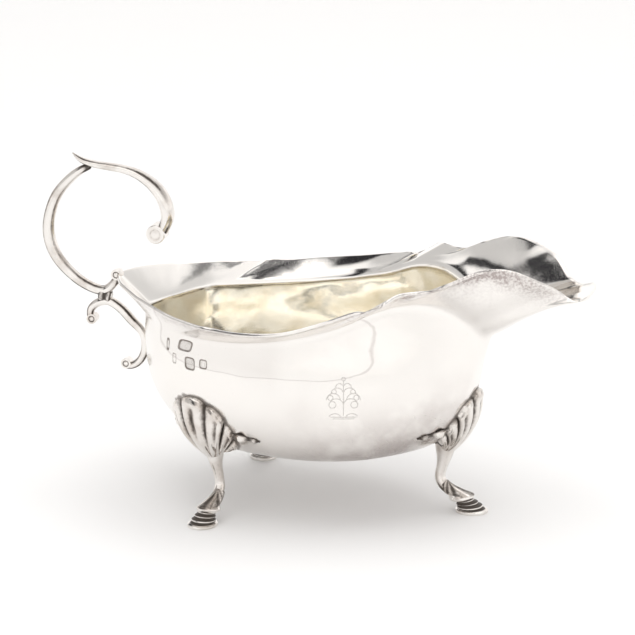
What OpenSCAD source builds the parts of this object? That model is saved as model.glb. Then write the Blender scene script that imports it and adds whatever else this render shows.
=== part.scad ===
// Silver sauce boat on three shell-topped legs, with a flying scroll handle.
// +X is the spout end, -X the handle, +Z up. The feet stand on z = 0, and x = 0 is halfway along the
// whole length. All lengths are millimetres.

/* [Body] */
// Length of the bowl, from the point of the rim at the handle to the cusp where the spout starts
body_l = 98; // [84:1:118]
// Width across the rim at its widest
rim_w = 92; // [78:1:110]
// Width across the belly
belly_w = 79; // [68:1:90]
// Height of the lowest stretch of the rim
rim_z = 66.3; // [60:0.1:78]
// Height of the widest part of the belly
belly_z = 46; // [42:0.5:50]
// Height of the underside of the bowl
keel_z = 17.8; // [15:0.1:21]
// Depth of the flared border, from the rim down to the bend inside
flare_h = 5.8; // [4:0.1:8]
// Thickness of the silver sheet
wall = 1.1; // [0.8:0.1:2]

/* [Spout] */
// Length of the spout, from the cusp to the tip of the lip
spout_l = 57.5; // [48:0.5:69]
// How far the shoulders of the spout rise above the lowest rim
spout_rise = 19.2; // [16:0.1:23]
// Width across the spout just past the cusp
spout_w = 54; // [46:1:64]
// Width across the lip
lip_w = 21; // [17:0.5:25]

/* [Handle] */
// How far the handle reaches out behind the rim
handle_reach = 24.5; // [20:0.5:30]
// How far the thumb rest stands above the point of the rim
handle_rise = 39.5; // [33:0.5:47]
// Thickness of the rear scroll
rear_d = 3.4; // [2.6:0.1:4.2]
// Thickness of the top scroll
top_d = 3; // [2.4:0.1:3.8]
// Breadth of the top scroll
top_w = 4.6; // [3.6:0.1:5.6]
// Thickness of the small lower scroll
lower_d = 2.7; // [2.2:0.1:3.3]
// Diameter of the bead at each end of the lower scroll
bead_d = 3.4; // [2.8:0.1:4.1]
// Diameter of the collar between the rear and the lower scroll
collar_d = 4.4; // [3.8:0.1:5.2]
// Diameter of the rolled end of the top scroll
volute_d = 6.2; // [5:0.1:7.4]
// Diameter of the knob on the point of the rim
knob_d = 3.6; // [3:0.1:4.4]

/* [Legs] */
// Distance between the middles of the two rear feet
rear_track = 69.8; // [60:0.1:82]
// How far the rear feet stand behind the middle
rear_foot_x = 26.5; // [20:0.5:33]
// How far the front foot stands behind the foremost place of the belly
front_foot_in = 2.3; // [0:0.1:6]
// Direction that the toe of a rear foot points, from straight ahead
toe_angle = 110; // [95:1:130]
// How far the top of a rear leg leans towards the handle
leg_lean = 3.5; // [0:0.5:5]
// Width of the fluted shell
shell_w = 21; // [18:0.5:25]
// Height of the widest place of the shell
shell_z = 31; // [28:0.5:34]
// How far the shell spreads upwards from there
shell_rise = 12; // [10:0.5:14]
// How far the knee, where the shell meets the shank, hangs below the underside of the bowl
knee_drop = 4.2; // [3.6:0.1:5.4]
// Number of lobes round the shell
shell_lobes = 7; // [5:1:9]
// Thickness of the shank at the ankle
ankle_d = 3.3; // [2.8:0.1:4.2]
// Length of the sole
sole_l = 10.6; // [9:0.1:12.5]
// Width of the sole
sole_w = 9.2; // [8:0.1:10.5]
// Thickness of the sole
sole_h = 1; // [0.8:0.1:1.6]
// Length of a leaf bud beside the shell
bud_l = 9; // [7:0.5:10]

/* [Hidden] */

// Colours of the metal
polished = [0.88, 0.87, 0.85];
cast = [0.74, 0.73, 0.72];

// How deep one soldered piece sinks into the next
solder = 0.3;

// Landmarks along the length
overall_l = body_l + spout_l + handle_reach;
rear_x = handle_reach - overall_l / 2;
cusp_x = rear_x + body_l;
keel_x = 4;
rear_z = rim_z + 3.5;

// Stations round one side of the bowl, from the handle to the tip of the lip, and rows up its wall
stations = 48;
rows = 24;

// ---- curves ----

// A place along the length: 0 at the point of the rim, 1 at the cusp, 2 at the tip of the lip
function along(a) = a <= 1 ? rear_x + a * body_l : cusp_x + (a - 1) * spout_l;

// The rim: station, place along, half width, height, and 1 where it has a corner
rim_line = [
    for (p = [
        [0, 0, 0, 0.18, 1], [1.7, 0.045, 0.217, 0.16, 0], [4, 0.13, 0.446, 0.11, 1],
        [7, 0.26, 0.69, 0.05, 0], [8, 0.3, 0.748, 0.025, 1], [11, 0.41, 0.883, 0.005, 0],
        [12, 0.45, 0.904, -0.005, 1], [15.5, 0.57, 0.987, 0.015, 0], [19, 0.7, 1, 0.085, 0],
        [22.5, 0.82, 0.904, 0.24, 0], [25.5, 0.91, 0.787, 0.375, 0], [27.2, 0.955, 0.791, 0.465, 0],
        [29, 1, 0.813, 0.55, 1]
    ]) [p[0], along(p[1]), p[2] * rim_w / 2, rim_z + p[3] * spout_rise, p[4]],
    for (p = [
        [30.3, 1.06, 1.16, 0.635, 0], [31.8, 1.16, 1.005, 0.66, 0], [33.8, 1.3, 0.963, 0.78, 0],
        [36.3, 1.48, 0.793, 0.985, 0], [38.5, 1.62, 0.678, 0.985, 0], [40.5, 1.76, 0.58, 0.79, 0]
    ]) [p[0], along(p[1]), p[2] * spout_w / 2, rim_z + p[3] * spout_rise, p[4]],
    for (p = [
        [42, 1.85, 0.915, 0.565, 0], [43, 1.9, 0.875, 0.49, 0], [44.5, 1.965, 0.99, 0.46, 0],
        [45.7, 1.995, 0.66, 0.453, 0], [48, 2, 0, 0.448, 0]
    ]) [p[0], along(p[1]), p[2] * lip_w / 2, rim_z + p[3] * spout_rise, p[4]]
];

// The bend inside, where the bowl turns out into the flared border and the floor of the spout
bend_line = [
    for (p = [
        [0, 0.1, 0, -0.015], [4, 0.145, 0.255, -0.01], [9.6, 0.25, 0.565, 0.005],
        [15, 0.39, 0.735, 0.015], [20, 0.56, 0.817, 0.07], [24.5, 0.73, 0.813, 0.19],
        [28, 0.85, 0.743, 0.385], [30.7, 0.93, 0.657, 0.575]
    ]) [p[0], along(p[1]), p[2] * rim_w / 2, rim_z - flare_h + p[3] * spout_rise, 0],
    for (p = [
        [33, 1.01, 0.941, 0.7], [36, 1.16, 0.735, 0.67], [39.5, 1.3, 0.519, 0.42],
        [43, 1.39, 0.32, 0.1], [45.7, 1.435, 0.17, -0.045], [48, 1.45, 0, -0.085]
    ]) [p[0], along(p[1]), p[2] * spout_w / 2, rim_z - flare_h + p[3] * spout_rise, 0]
];

// The belly, at its widest: station, place along, half width
belly_line = [
    for (p = [
        [0, 0.1, 0], [5.8, 0.17, 0.44], [11.5, 0.306, 0.785], [18.2, 0.526, 0.977],
        [24, 0.75, 1], [29.3, 0.954, 0.868], [35, 1.18, 0.577], [42, 1.36, 0.266],
        [48, 1.39, 0]
    ]) [p[0], along(p[1]), p[2] * belly_w / 2, belly_z, 0]
];

// Row k of a guide line, carried on past both ends by its mirror image
function knot(line, k) =
    let (n = len(line))
    k < 0 ? [-line[-k][0], line[-k][1], -line[-k][2], line[-k][3], line[-k][4]]
    : k >= n ? let (r = line[2 * n - 2 - k]) [2 * stations - r[0], r[1], -r[2], r[3], r[4]]
    : line[k];

function place(r) = [r[1], r[2], r[3]];

// Slope of a guide line at knot k, one-sided at a corner
function slope(line, k, side) =
    let (
        corner = knot(line, k)[4] > 0,
        a = corner && side > 0 ? knot(line, k) : knot(line, k - 1),
        b = corner && side < 0 ? knot(line, k) : knot(line, k + 1)
    ) (place(b) - place(a)) / (b[0] - a[0]);

// Point of a guide line at station s, on a smooth cubic through its knots
function guide(line, s) =
    let (
        k = max([for (j = [0 : len(line) - 2]) if (line[j][0] <= s) j]),
        p = line[k],
        q = line[k + 1],
        h = q[0] - p[0],
        t = (s - p[0]) / h
    )
    place(p) * (2 * t * t * t - 3 * t * t + 1) + slope(line, k, 1) * h * (t * t * t - 2 * t * t + t)
    + place(q) * (3 * t * t - 2 * t * t * t) + slope(line, k + 1, -1) * h * (t * t * t - t * t);

// Point at t (0 to 1) of the smooth curve that follows the control points c
function follow(c, t) =
    let (
        n = len(c),
        u = t * (n - 1),
        k = min(floor(u), n - 2),
        f = u - k,
        a = k == 0 ? 2 * c[0] - c[1] : c[k - 1],
        d = k == n - 2 ? 2 * c[n - 1] - c[n - 2] : c[k + 2]
    )
    (a * pow(1 - f, 3) + c[k] * (3 * f * f * f - 6 * f * f + 4)
    + c[k + 1] * (3 * f * f - 3 * f * f * f + 3 * f + 1) + d * f * f * f) / 6;

function unit(v) = v / norm(v);

// ---- bowl surface ----

// A point between the keel and the belly: k is the share of the way out, f the share of the way up
function below(keel, belly, k, f) =
    let (p = keel + k * (belly - keel)) [p.x, p.y, keel.z + f * (belly.z - keel.z)];

// Control points of one section of the bowl, from the keel over the belly and the bend to the rim
function section(s) =
    let (
        keel = [keel_x, 0, keel_z],
        belly = guide(belly_line, s),
        bend = guide(bend_line, s),
        rim = guide(rim_line, s),
        out = rim - bend,
        spout = max(0, (s / stations - 0.62) / 0.38),
        bow = [0, 2.2 * sin(180 * spout), pow(spout, 1.5)],
        shoulder = belly + [0, 0, 0.16 * (bend.z - belly.z)]
    ) [
        keel,
        below(keel, belly, 0.43, 0),
        below(keel, belly, 0.8, 0.184),
        below(keel, belly, 0.97, 0.66),
        shoulder,
        belly + 0.62 * (bend - belly),
        bend - 0.13 * (bend - belly),
        bend,
        bend + 0.14 * out + [0, 0.4 * bow.y, 0.2 * bow.z],
        bend + 0.36 * out + [0, bow.y, 1.8 * bow.z],
        rim - 0.3 * out + [0, 0.4 * bow.y, 2.6 * bow.z],
        rim
    ];

// Outside of the bowl at station s and height v (0 to 1); past the tip the stations are on the left
function bowl_at(s, v) =
    let (left = s > stations, p = follow(section(left ? 2 * stations - s : s), v))
    [p.x, left ? p.y : -p.y, p.z];

// Outward direction of the bowl there
function bowl_normal(s, v) =
    unit(cross(bowl_at(s + 0.2, v) - bowl_at(s - 0.2, v),
        bowl_at(s, v + 0.004) - bowl_at(s, v - 0.004)));

// ---- solids from rings and grids ----

// Two triangles for each square of a grid; at(i, j) is the number of its point
function squares(m, n, at) = [
    for (i = [0 : m - 1], j = [0 : n - 1], half = [0, 1])
        half == 0 ? [at(i, j), at(i, j + 1), at(i + 1, j + 1)]
        : [at(i, j), at(i + 1, j + 1), at(i + 1, j)]
];

function flipped(faces) = [for (f = faces) [f[2], f[1], f[0]]];

function flat(lists) = [for (l = lists) each l];

// A closed solid through a row of rings, with both ends capped
module loft(rings) {
    m = len(rings[0]);
    n = len(rings);
    walls = squares(n - 1, m, function (i, j) i * m + j % m);
    caps = [for (j = [0 : m - 1], top = [0, 1])
        top == 0 ? [n * m, (j + 1) % m, j] : [n * m + 1, (n - 1) * m + j, (n - 1) * m + (j + 1) % m]];
    ends = [[for (p = rings[0]) 1] * rings[0] / m, [for (p = rings[n - 1]) 1] * rings[n - 1] / m];
    polyhedron(concat(flat(rings), ends), flipped(concat(walls, caps)));
}

// A closed solid between two grids of points that face each other
module slab(outer, inner) {
    m = len(outer);
    n = len(outer[0]);
    o = m * n;
    front = squares(m - 1, n - 1, function (i, j) i * n + j);
    back = flipped(squares(m - 1, n - 1, function (i, j) o + i * n + j));
    low = squares(m - 1, 1, function (i, j) i * n + (j == 0 ? o : 0));
    high = squares(m - 1, 1, function (i, j) i * n + n - 1 + (j == 0 ? 0 : o));
    first = squares(1, n - 1, function (i, j) (i == 0 ? o : 0) + j);
    last = squares(1, n - 1, function (i, j) (i == 0 ? 0 : o) + (m - 1) * n + j);
    polyhedron(concat(flat(outer), flat(inner)), concat(front, back, low, high, first, last));
}

// An oval ring about c with half axes u and v
function oval(c, u, v, sides = 12) = [for (k = [0 : sides - 1])
    c + u * cos(360 * k / sides) + v * sin(360 * k / sides)];

// Row t of a list of rows, on the smooth curve that passes through every row
function passing(rows, t) =
    let (
        n = len(rows),
        k = min(floor(t), n - 2),
        f = t - k,
        b = rows[k],
        c = rows[k + 1],
        a = k == 0 ? 2 * b - c : rows[k - 1],
        d = k == n - 2 ? 2 * c - b : rows[k + 2]
    )
    b + ((c - a) * f + (2 * a - 5 * b + 4 * c - d) * f * f + (3 * b - a - 3 * c + d) * f * f * f) / 2;

// ---- bowl and spout, one raised sheet ----

module bowl() {
    n = 2 * stations;
    sections = [for (i = [0 : stations]) section(i)];
    outside = [for (i = [0 : n - 1]) [for (j = [0 : rows])
        let (p = follow(sections[i > stations ? n - i : i], j / rows)) [p.x, i > stations ? p.y : -p.y, p.z]]];
    inside = [for (i = [0 : n - 1]) [for (j = [1 : rows])
        let (
            along_rim = outside[(i + 1) % n][j] - outside[(i + n - 1) % n][j],
            up = outside[i][min(j + 1, rows)] - outside[i][j - 1]
        ) outside[i][j] - wall * unit(cross(along_rim, up))]];
    keel = outside[0][0];
    o = 1 + n * rows;
    outer = function (i, j) j == 0 ? 0 : 1 + (i % n) * rows + j - 1;
    inner = function (i, j) o + outer(i, j);
    skin = concat(
        [for (f = squares(n, rows, outer)) if (f[0] != f[1] && f[1] != f[2] && f[2] != f[0]) f],
        [for (f = flipped(squares(n, rows, inner))) if (f[0] != f[1] && f[1] != f[2] && f[2] != f[0]) f],
        squares(n, 1, function (i, j) j == 0 ? outer(i, rows) : inner(i, rows))
    );
    points = concat([keel], flat([for (r = outside) [for (j = [1 : rows]) r[j]]]),
        [keel + [0, 0, wall]], flat(inside));
    color(polished) polyhedron(points, skin);
}

// ---- handle ----

// A bar that follows rows of [behind the rim, above the rim, thickness, breadth]
module scroll(rows, steps) {
    n = (len(rows) - 1) * steps;
    path = [for (k = [0 : n]) passing(rows, k / steps)];
    loft([for (k = [0 : n])
        let (
            p = path[k],
            ahead = path[min(k + 1, n)] - path[max(k - 1, 0)],
            way = unit([ahead[0], 0, ahead[1]])
        ) oval([p[0], 0, p[1]], p[2] / 2 * cross(way, [0, 1, 0]), [0, -p[3] / 2, 0])]);
}

// Places on the handle: share of the reach behind the rim, share of the rise above it
function behind(b) = rear_x - b * handle_reach;
function above(u) = rear_z + u * handle_rise;

function bar(rows, d, w) = [for (r = rows) [behind(r[0]), above(r[1]), r[2] * d, r[2] * w]];

rear_line = bar([[-0.02, -0.03, 0.75], [0.045, -0.085, 0.8], [0.15, -0.145, 0.9], [0.3, -0.134, 0.95],
    [0.48, -0.086, 1], [0.64, -0.01, 1.05], [0.79, 0.084, 1.1], [0.885, 0.19, 1.15], [0.928, 0.296, 1.15],
    [0.93, 0.4, 1.1], [0.894, 0.509, 1.05], [0.824, 0.623, 1], [0.722, 0.716, 0.95],
    [0.584, 0.805, 0.85], [0.461, 0.863, 0.75], [0.36, 0.893, 0.6]], rear_d, rear_d);
top_line = bar([[0.571, 0.995, 0.12], [0.502, 0.962, 0.45], [0.416, 0.935, 0.65], [0.265, 0.915, 0.75],
    [0.09, 0.905, 0.8], [-0.106, 0.893, 0.85], [-0.265, 0.87, 0.95], [-0.412, 0.828, 1.1],
    [-0.547, 0.765, 1.25], [-0.645, 0.69, 1.35], [-0.71, 0.597, 1.4], [-0.725, 0.499, 1.35],
    [-0.66, 0.41, 1.2]], top_d, top_w);
top_end = top_line[len(top_line) - 1];
rear_wall = bowl_at(0, v_at(0, belly_z + 2));
lower_touch = [rear_wall.x - lower_d / 2 + solder, rear_wall.z];
lower_line = concat(
    bar([[0.37, -0.375, 0.8], [0.365, -0.31, 0.9], [0.29, -0.256, 1], [0.167, -0.225, 1.05],
        [0.049, -0.235, 1.1], [-0.094, -0.3, 1.1], [-0.212, -0.383, 1.1]], lower_d, lower_d * 1.15),
    [[lower_touch.x - 1.1, lower_touch.y + 3.7, lower_d, lower_d * 1.15],
     [lower_touch.x, lower_touch.y, lower_d, lower_d * 1.15],
     [lower_touch.x - 0.3, lower_touch.y - 3.5, lower_d, lower_d * 1.1],
     [lower_touch.x - 1.7, lower_touch.y - 6.3, lower_d * 0.95, lower_d * 1.1],
     [lower_touch.x - 4.1, lower_touch.y - 8.3, lower_d * 0.9, lower_d],
     [lower_touch.x - 6.6, lower_touch.y - 8.6, lower_d * 0.85, lower_d]]);
lower_end = lower_line[len(lower_line) - 1];

module handle_rear_scroll() color(cast) scroll(rear_line, 4);

module handle_top_scroll() color(cast) scroll(top_line, 4);

module handle_lower_scroll() color(cast) scroll(lower_line, 4);

// A small drum lying across the object, with rounded rims and a dished face
module drum(d, w) {
    r = d / 2;
    edge = d * 0.18;
    rotate([90, 0, 0]) rotate_extrude($fn = 48) union() {
        translate([0, -w / 2 + edge * 0.5]) square([r - edge, w - edge]);
        translate([0, -w / 2 + edge]) square([r, w - 2 * edge]);
        for (side = [-1, 1]) translate([r - edge, side * (w / 2 - edge)]) circle(edge, $fn = 32);
    }
}

module handle_top_volute() color(cast)
    translate([top_end[0] - volute_d * 0.32, 0, top_end[1] - volute_d * 0.2])
        drum(volute_d, top_w * 1.3);

module handle_upper_bead() color(cast)
    translate([lower_line[0][0] + bead_d * 0.25, 0, lower_line[0][1] - bead_d * 0.1])
        drum(bead_d, lower_d * 1.25);

module handle_lower_bead() color(cast)
    translate([lower_end[0] + bead_d * 0.05, 0, lower_end[1] + bead_d * 0.3])
        drum(bead_d, lower_d * 1.25);

module handle_collar() {
    r = collar_d / 2;
    color(cast) translate([behind(0.155), 0, above(-0.185)]) rotate([0, 90 + 8, 0])
        rotate_extrude($fn = 48) intersection() {
            translate([-r * 1.2, 0]) circle(r * 2.2, $fn = 64);
            translate([0, -r * 1.1]) square([r, r * 2.2]);
        }
}

module handle_rim_knob() color(cast)
    translate([rear_x + knob_d * 0.1, 0, rear_z + knob_d * 0.05]) drum(knob_d, knob_d * 0.85);

// ---- legs ----

// A leg: middle of the sole, direction of the toe and lean towards the handle
rear_leg = [[-rear_foot_x, -rear_track / 2], 360 - toe_angle, -leg_lean];
front_leg = [[guide(belly_line, stations - 0.01).x - front_foot_in, 0], 0, 0];
// How far out from the middle of its sole the knee of a leg is
knee_out = -8.8;

// A place on a leg: outwards from the middle of the sole, sideways, and up
function on_leg(leg, r, t, z) =
    let (side = t + leg[2] * z / (shell_z + shell_rise))
    [leg[0].x + r * cos(leg[1]) - side * sin(leg[1]), leg[0].y + r * sin(leg[1]) + side * cos(leg[1]), z];

// How far a point lies to the side of a leg's middle plane
function aside(leg, p) =
    (p.y - leg[0].y) * cos(leg[1]) - (p.x - leg[0].x) * sin(leg[1])
    - leg[2] * p.z / (shell_z + shell_rise);

// Height on the bowl, at station s, of the point that lies at z
function v_at(s, z, low = 0.05, high = 0.55, tries = 10) =
    let (v = (low + high) / 2)
    tries == 0 ? v
    : bowl_at(s, v).z > z ? v_at(s, z, low, v, tries - 1) : v_at(s, z, v, high, tries - 1);

// Station on the bowl of the point at height v that lies in a leg's middle plane
function s_at(leg, v, low = 1, high = 29, tries = 10) =
    let (s = (low + high) / 2)
    tries == 0 ? s
    : aside(leg, bowl_at(s, v)) > 0 ? s_at(leg, v, low, s, tries - 1) : s_at(leg, v, s, high, tries - 1);

// How far out from the middle of a leg's sole a point lies
function outward(leg, p) = (p.x - leg[0].x) * cos(leg[1]) + (p.y - leg[0].y) * sin(leg[1]);

// Point of the bowl above the knee of a leg
function above_knee(leg, low = 0.05, high = 0.5, tries = 10) =
    let (v = (low + high) / 2, p = bowl_at(leg == front_leg ? stations : s_at(leg, v), v))
    tries == 0 ? p
    : outward(leg, p) > knee_out ? above_knee(leg, low, v, tries - 1)
    : above_knee(leg, v, high, tries - 1);

// Height of the knee of a leg
function knee(leg) = above_knee(leg).z - knee_drop;

// Middle of a leg's shell on the bowl: station, height
function shell_middle(leg) =
    leg == front_leg ? [stations, v_at(stations, shell_z)]
    : let (first = s_at(leg, v_at(10, shell_z)), v = v_at(first, shell_z)) [s_at(leg, v), v];

// Half axes of the shell on the bowl, as changes of station and height
function shell_reach(m) = [
    shell_w / norm(bowl_at(m[0] + 0.5, m[1]) - bowl_at(m[0] - 0.5, m[1])) / 2,
    shell_rise * 0.02 / norm(bowl_at(m[0], m[1] + 0.01) - bowl_at(m[0], m[1] - 0.01))
];

// The shell fans out from the knee to a scalloped edge that lies on the bowl
module leg_shell(leg) {
    m = shell_middle(leg);
    reach = shell_reach(m);
    knee_z = knee(leg);
    heel = v_at(m[0], knee_z + 2.5);
    across = 4 * shell_lobes;
    up = 8;
    grid = [for (i = [0 : across])
        let (
            angle = -28 + 236 * i / across,
            lobe = abs(sin(180 * shell_lobes * i / across)),
            swell = 0.93 + 0.1 * lobe,
            edge = [m[0] + reach[0] * swell * cos(angle), m[1] + reach[1] * swell * sin(angle)],
            foot = [m[0] + reach[0] * 0.2 * cos(angle), heel + reach[1] * 0.12 * sin(angle)],
            face = bowl_normal(edge[0], edge[1]),
            top = bowl_at(edge[0], edge[1]) + (0.7 + 0.7 * lobe) * face,
            hinge = on_leg(leg, -8.4 + 2.8 * sin(angle), 3 * cos(angle), knee_z - 0.6 * sin(angle)),
            away = unit(on_leg(leg, 1, 0.5 * cos(angle), 0) - on_leg(leg, 0, 0, 0)),
            crown = (hinge + top) / 2 + (2.4 + 2.3 * (1 + sin(angle))) * away
        ) [for (j = [0 : up])
            let (
                t = j / up,
                groove = 1.5 * (lobe - 1) * (0.3 + 0.7 * t) * sin(180 * pow(t, 0.7)),
                q = foot + (edge - foot) * t
            ) [
                hinge * pow(1 - t, 2) + crown * 2 * t * (1 - t) + top * t * t + groove * away,
                bowl_at(q[0], q[1]) - solder * unit(bowl_at(q[0], q[1]) - [0, 0, rim_z])
            ]]];
    color(cast) slab([for (row = grid) [for (p = row) p[1]]], [for (row = grid) [for (p = row) p[0]]]);
}

// The shank, from inside the shell down to the hoof: outwards, up, half depth, half width
module leg_shank(leg) {
    k = ankle_d / 3.3;
    knee_z = knee(leg);
    rows = [[knee_out, knee_z + 2.6, 2.2, 2.1], [-9.2, knee_z + 0.8, 3, 2.7], [-9.2, knee_z - 2.5, 2.3 * k, 2.1 * k],
        [-9.8, knee_z - 5.6, 1.7 * k, 1.7 * k], [-10.5, 12, 1.55 * k, 1.55 * k], [-10.3, 9.9, 1.65 * k, 1.7 * k],
        [-9, 7.8, 1.6 * k, 1.8 * k], [-7, 6.4, 1.2 * k, 1.9 * k]];
    steps = 3;
    n = (len(rows) - 1) * steps;
    path = [for (i = [0 : n]) passing(rows, i / steps)];
    color(cast) loft([for (i = [0 : n])
        let (
            p = path[i],
            ahead = path[min(i + 1, n)] - path[max(i - 1, 0)],
            way = unit([ahead[0], ahead[1]]),
            c = on_leg(leg, p[0], 0, p[1])
        ) oval(c, on_leg(leg, p[0] + p[2] * way.y, 0, p[1] - p[2] * way.x) - c,
            on_leg(leg, p[0], p[3], p[1]) - c)]);
}

// The hoof: an oval sole, two recessed steps and a flared top that runs up into the ankle
module leg_foot(leg) {
    r = sole_w / 2;
    half = sole_l / 2;
    // outwards, up, half length, half width, slope of the ring
    rings = [[-0.3, sole_h * 0.6, half - 0.9, r - 0.5, 0], [-0.6, sole_h + 0.9, half - 0.8, r - 0.4, 6],
        [-0.9, sole_h + 1.6, half - 1.1, r - 0.7, 8], [-1.7, sole_h + 2, half - 2, r - 1.2, 9],
        [-2.5, sole_h + 3, half - 2.1, r - 1.2, 10], [-3.2, sole_h + 3.4, half - 1, r - 0.7, 11],
        [-3.3, sole_h + 4.1, half - 0.9, r - 0.6, 12], [-4.6, sole_h + 4.7, half - 1.8, r - 1.2, 16],
        [-6.5, sole_h + 5.5, 2.5, 2.3, 22], [-8.1, sole_h + 6.5, 2, 2, 30], [-9.2, sole_h + 7.7, 1.7, 1.8, 36]];
    color(cast) union() {
        translate([leg[0].x, leg[0].y, 0]) rotate([0, 0, leg[1]])
            for (side = [-1, 1]) translate([side * (half - r), 0, 0])
                cylinder(h = sole_h, r = r, $fn = 64);
        loft([for (p = rings)
            let (c = on_leg([leg[0], leg[1], 0], p[0], 0, p[1]),
                tip = on_leg([leg[0], leg[1], 0], p[0] + p[2] * cos(p[4]), 0, p[1] + p[2] * sin(p[4])))
            oval(c, tip - c, on_leg([leg[0], leg[1], 0], p[0], p[3], p[1]) - c, 20)]);
    }
}

// A leaf bud on the bowl beside the shell; side is -1 towards the handle and 1 towards the spout
module leg_bud(leg, side) {
    m = shell_middle(leg);
    reach = shell_reach(m);
    per_mm = reach[0] / (shell_w / 2);
    start = m[0] + side * reach[0] * 0.96;
    n = 10;
    color(cast) loft([for (k = [0 : n])
        let (
            t = k / n,
            s = start + side * bud_l * t * per_mm,
            v = m[1] - reach[1] * (0.06 + 0.14 * t),
            face = bowl_normal(s, v),
            way = unit(bowl_at(s + 0.2 * side, v) - bowl_at(s - 0.2 * side, v)),
            fat = 0.25 + 1.35 * sin(180 * pow(t, 0.8)) * (1 - 0.3 * t),
            deep = 0.35 + 0.75 * sin(180 * pow(t, 0.8))
        ) oval(bowl_at(s, v) + (deep - solder) * face, deep * face, fat * cross(way, face), 10)]);
}

bowl();
handle_rear_scroll();
handle_top_scroll();
handle_top_volute();
handle_lower_scroll();
handle_upper_bead();
handle_lower_bead();
handle_collar();
handle_rim_knob();
leg_shell(rear_leg);  // right_leg_shell
leg_shank(rear_leg);  // right_leg_shank
leg_foot(rear_leg);  // right_leg_foot
leg_bud(rear_leg, -1);  // right_leg_rear_bud
leg_bud(rear_leg, 1);  // right_leg_front_bud
mirror([0, 1, 0]) leg_shell(rear_leg);  // left_leg_shell
mirror([0, 1, 0]) leg_shank(rear_leg);  // left_leg_shank
mirror([0, 1, 0]) leg_foot(rear_leg);  // left_leg_foot
mirror([0, 1, 0]) leg_bud(rear_leg, -1);  // left_leg_rear_bud
mirror([0, 1, 0]) leg_bud(rear_leg, 1);  // left_leg_front_bud
leg_shell(front_leg);  // front_leg_shell
leg_shank(front_leg);  // front_leg_shank
leg_foot(front_leg);  // front_leg_foot
leg_bud(front_leg, -1);  // front_leg_right_bud
leg_bud(front_leg, 1);  // front_leg_left_bud
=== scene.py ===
# %% [markdown]
# # A silver sauce boat
# This lesson dresses a plain solid model of a sauce boat in polished silver. The boat is a deep oval
# bowl with a high spout, a scroll handle and three legs that spring from fluted shells. The solid
# model gives every piece its size and place, and each piece is made again here, finer, in the same spot.

# %% The solid model
import math
import bpy
import numpy as np
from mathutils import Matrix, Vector, noise


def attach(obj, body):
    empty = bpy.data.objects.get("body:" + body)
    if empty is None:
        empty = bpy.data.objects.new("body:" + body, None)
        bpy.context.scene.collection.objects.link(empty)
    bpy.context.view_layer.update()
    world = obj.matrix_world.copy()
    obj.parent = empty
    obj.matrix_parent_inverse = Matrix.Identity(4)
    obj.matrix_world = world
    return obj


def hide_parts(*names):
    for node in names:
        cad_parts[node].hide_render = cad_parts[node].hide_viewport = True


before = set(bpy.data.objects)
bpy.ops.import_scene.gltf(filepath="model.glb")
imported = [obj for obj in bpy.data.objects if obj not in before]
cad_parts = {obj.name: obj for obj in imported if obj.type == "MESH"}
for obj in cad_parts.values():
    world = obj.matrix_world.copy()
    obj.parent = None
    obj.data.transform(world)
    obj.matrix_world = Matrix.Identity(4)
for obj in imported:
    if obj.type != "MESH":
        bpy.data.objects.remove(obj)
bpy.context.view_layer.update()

# %% [markdown]
# ## The plan of the bowl
# A silversmith raises such a bowl from one flat disc, hammering it over stakes until it follows three
# lines: the scalloped rim, the bend where the wall turns out into a flared border, and the widest line
# of the belly. Numbers are the surest way to keep those lines true, because the pieces soldered to the
# bowl have to find its surface again. Each line is a short list of stations from the handle (0) to the
# tip of the lip (48). All sizes here are in millimetres.

# %% The sizes
body_l, spout_l, handle_reach, handle_rise = 98, 57.5, 24.5, 39.5
rim_w, belly_w, spout_w, lip_w = 92, 79, 54, 21
rim_z, belly_z, keel_z, flare_h, spout_rise, wall = 66.3, 46, 17.8, 5.8, 19.2, 1.1
keel_x, solder = 4, .3  # the lowest place of the bowl, and how far a soldered piece sinks in
point_x = handle_reach - (body_l + spout_l + handle_reach) / 2
cusp_x = point_x + body_l
mm = 0.001


def along(share):
    """Distance along the boat: 0 is the point of the rim, 1 the cusp before the spout, 2 the tip."""
    return point_x + share * body_l if share <= 1 else cusp_x + (share - 1) * spout_l


def measured(table, half_width, low):
    """Turns [station, along, width, height, corner] shares into millimetres."""
    return [[s, along(a), w * half_width, low + z * spout_rise, c] for s, a, w, z, c in table]


print("from", point_x, "to", along(2))

# %% The three lines
rim_rows = (
    measured([[0, 0, 0, .18, 1], [1.7, .045, .217, .16, 0], [4, .13, .446, .11, 1], [7, .26, .69, .05, 0],
              [8, .3, .748, .025, 1], [11, .41, .883, .005, 0], [12, .45, .904, -.005, 1],
              [15.5, .57, .987, .015, 0], [19, .7, 1, .085, 0], [22.5, .82, .904, .24, 0],
              [25.5, .91, .787, .375, 0], [27.2, .955, .791, .465, 0], [29, 1, .813, .55, 1]],
             rim_w / 2, rim_z)
    + measured([[30.3, 1.06, 1.16, .635, 0], [31.8, 1.16, 1.005, .66, 0], [33.8, 1.3, .963, .78, 0],
                [36.3, 1.48, .793, .985, 0], [38.5, 1.62, .678, .985, 0], [40.5, 1.76, .58, .79, 0]],
               spout_w / 2, rim_z)
    + measured([[42, 1.85, .915, .565, 0], [43, 1.9, .875, .49, 0], [44.5, 1.965, .99, .46, 0],
                [45.7, 1.995, .66, .453, 0], [48, 2, 0, .448, 0]], lip_w / 2, rim_z))
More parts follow.
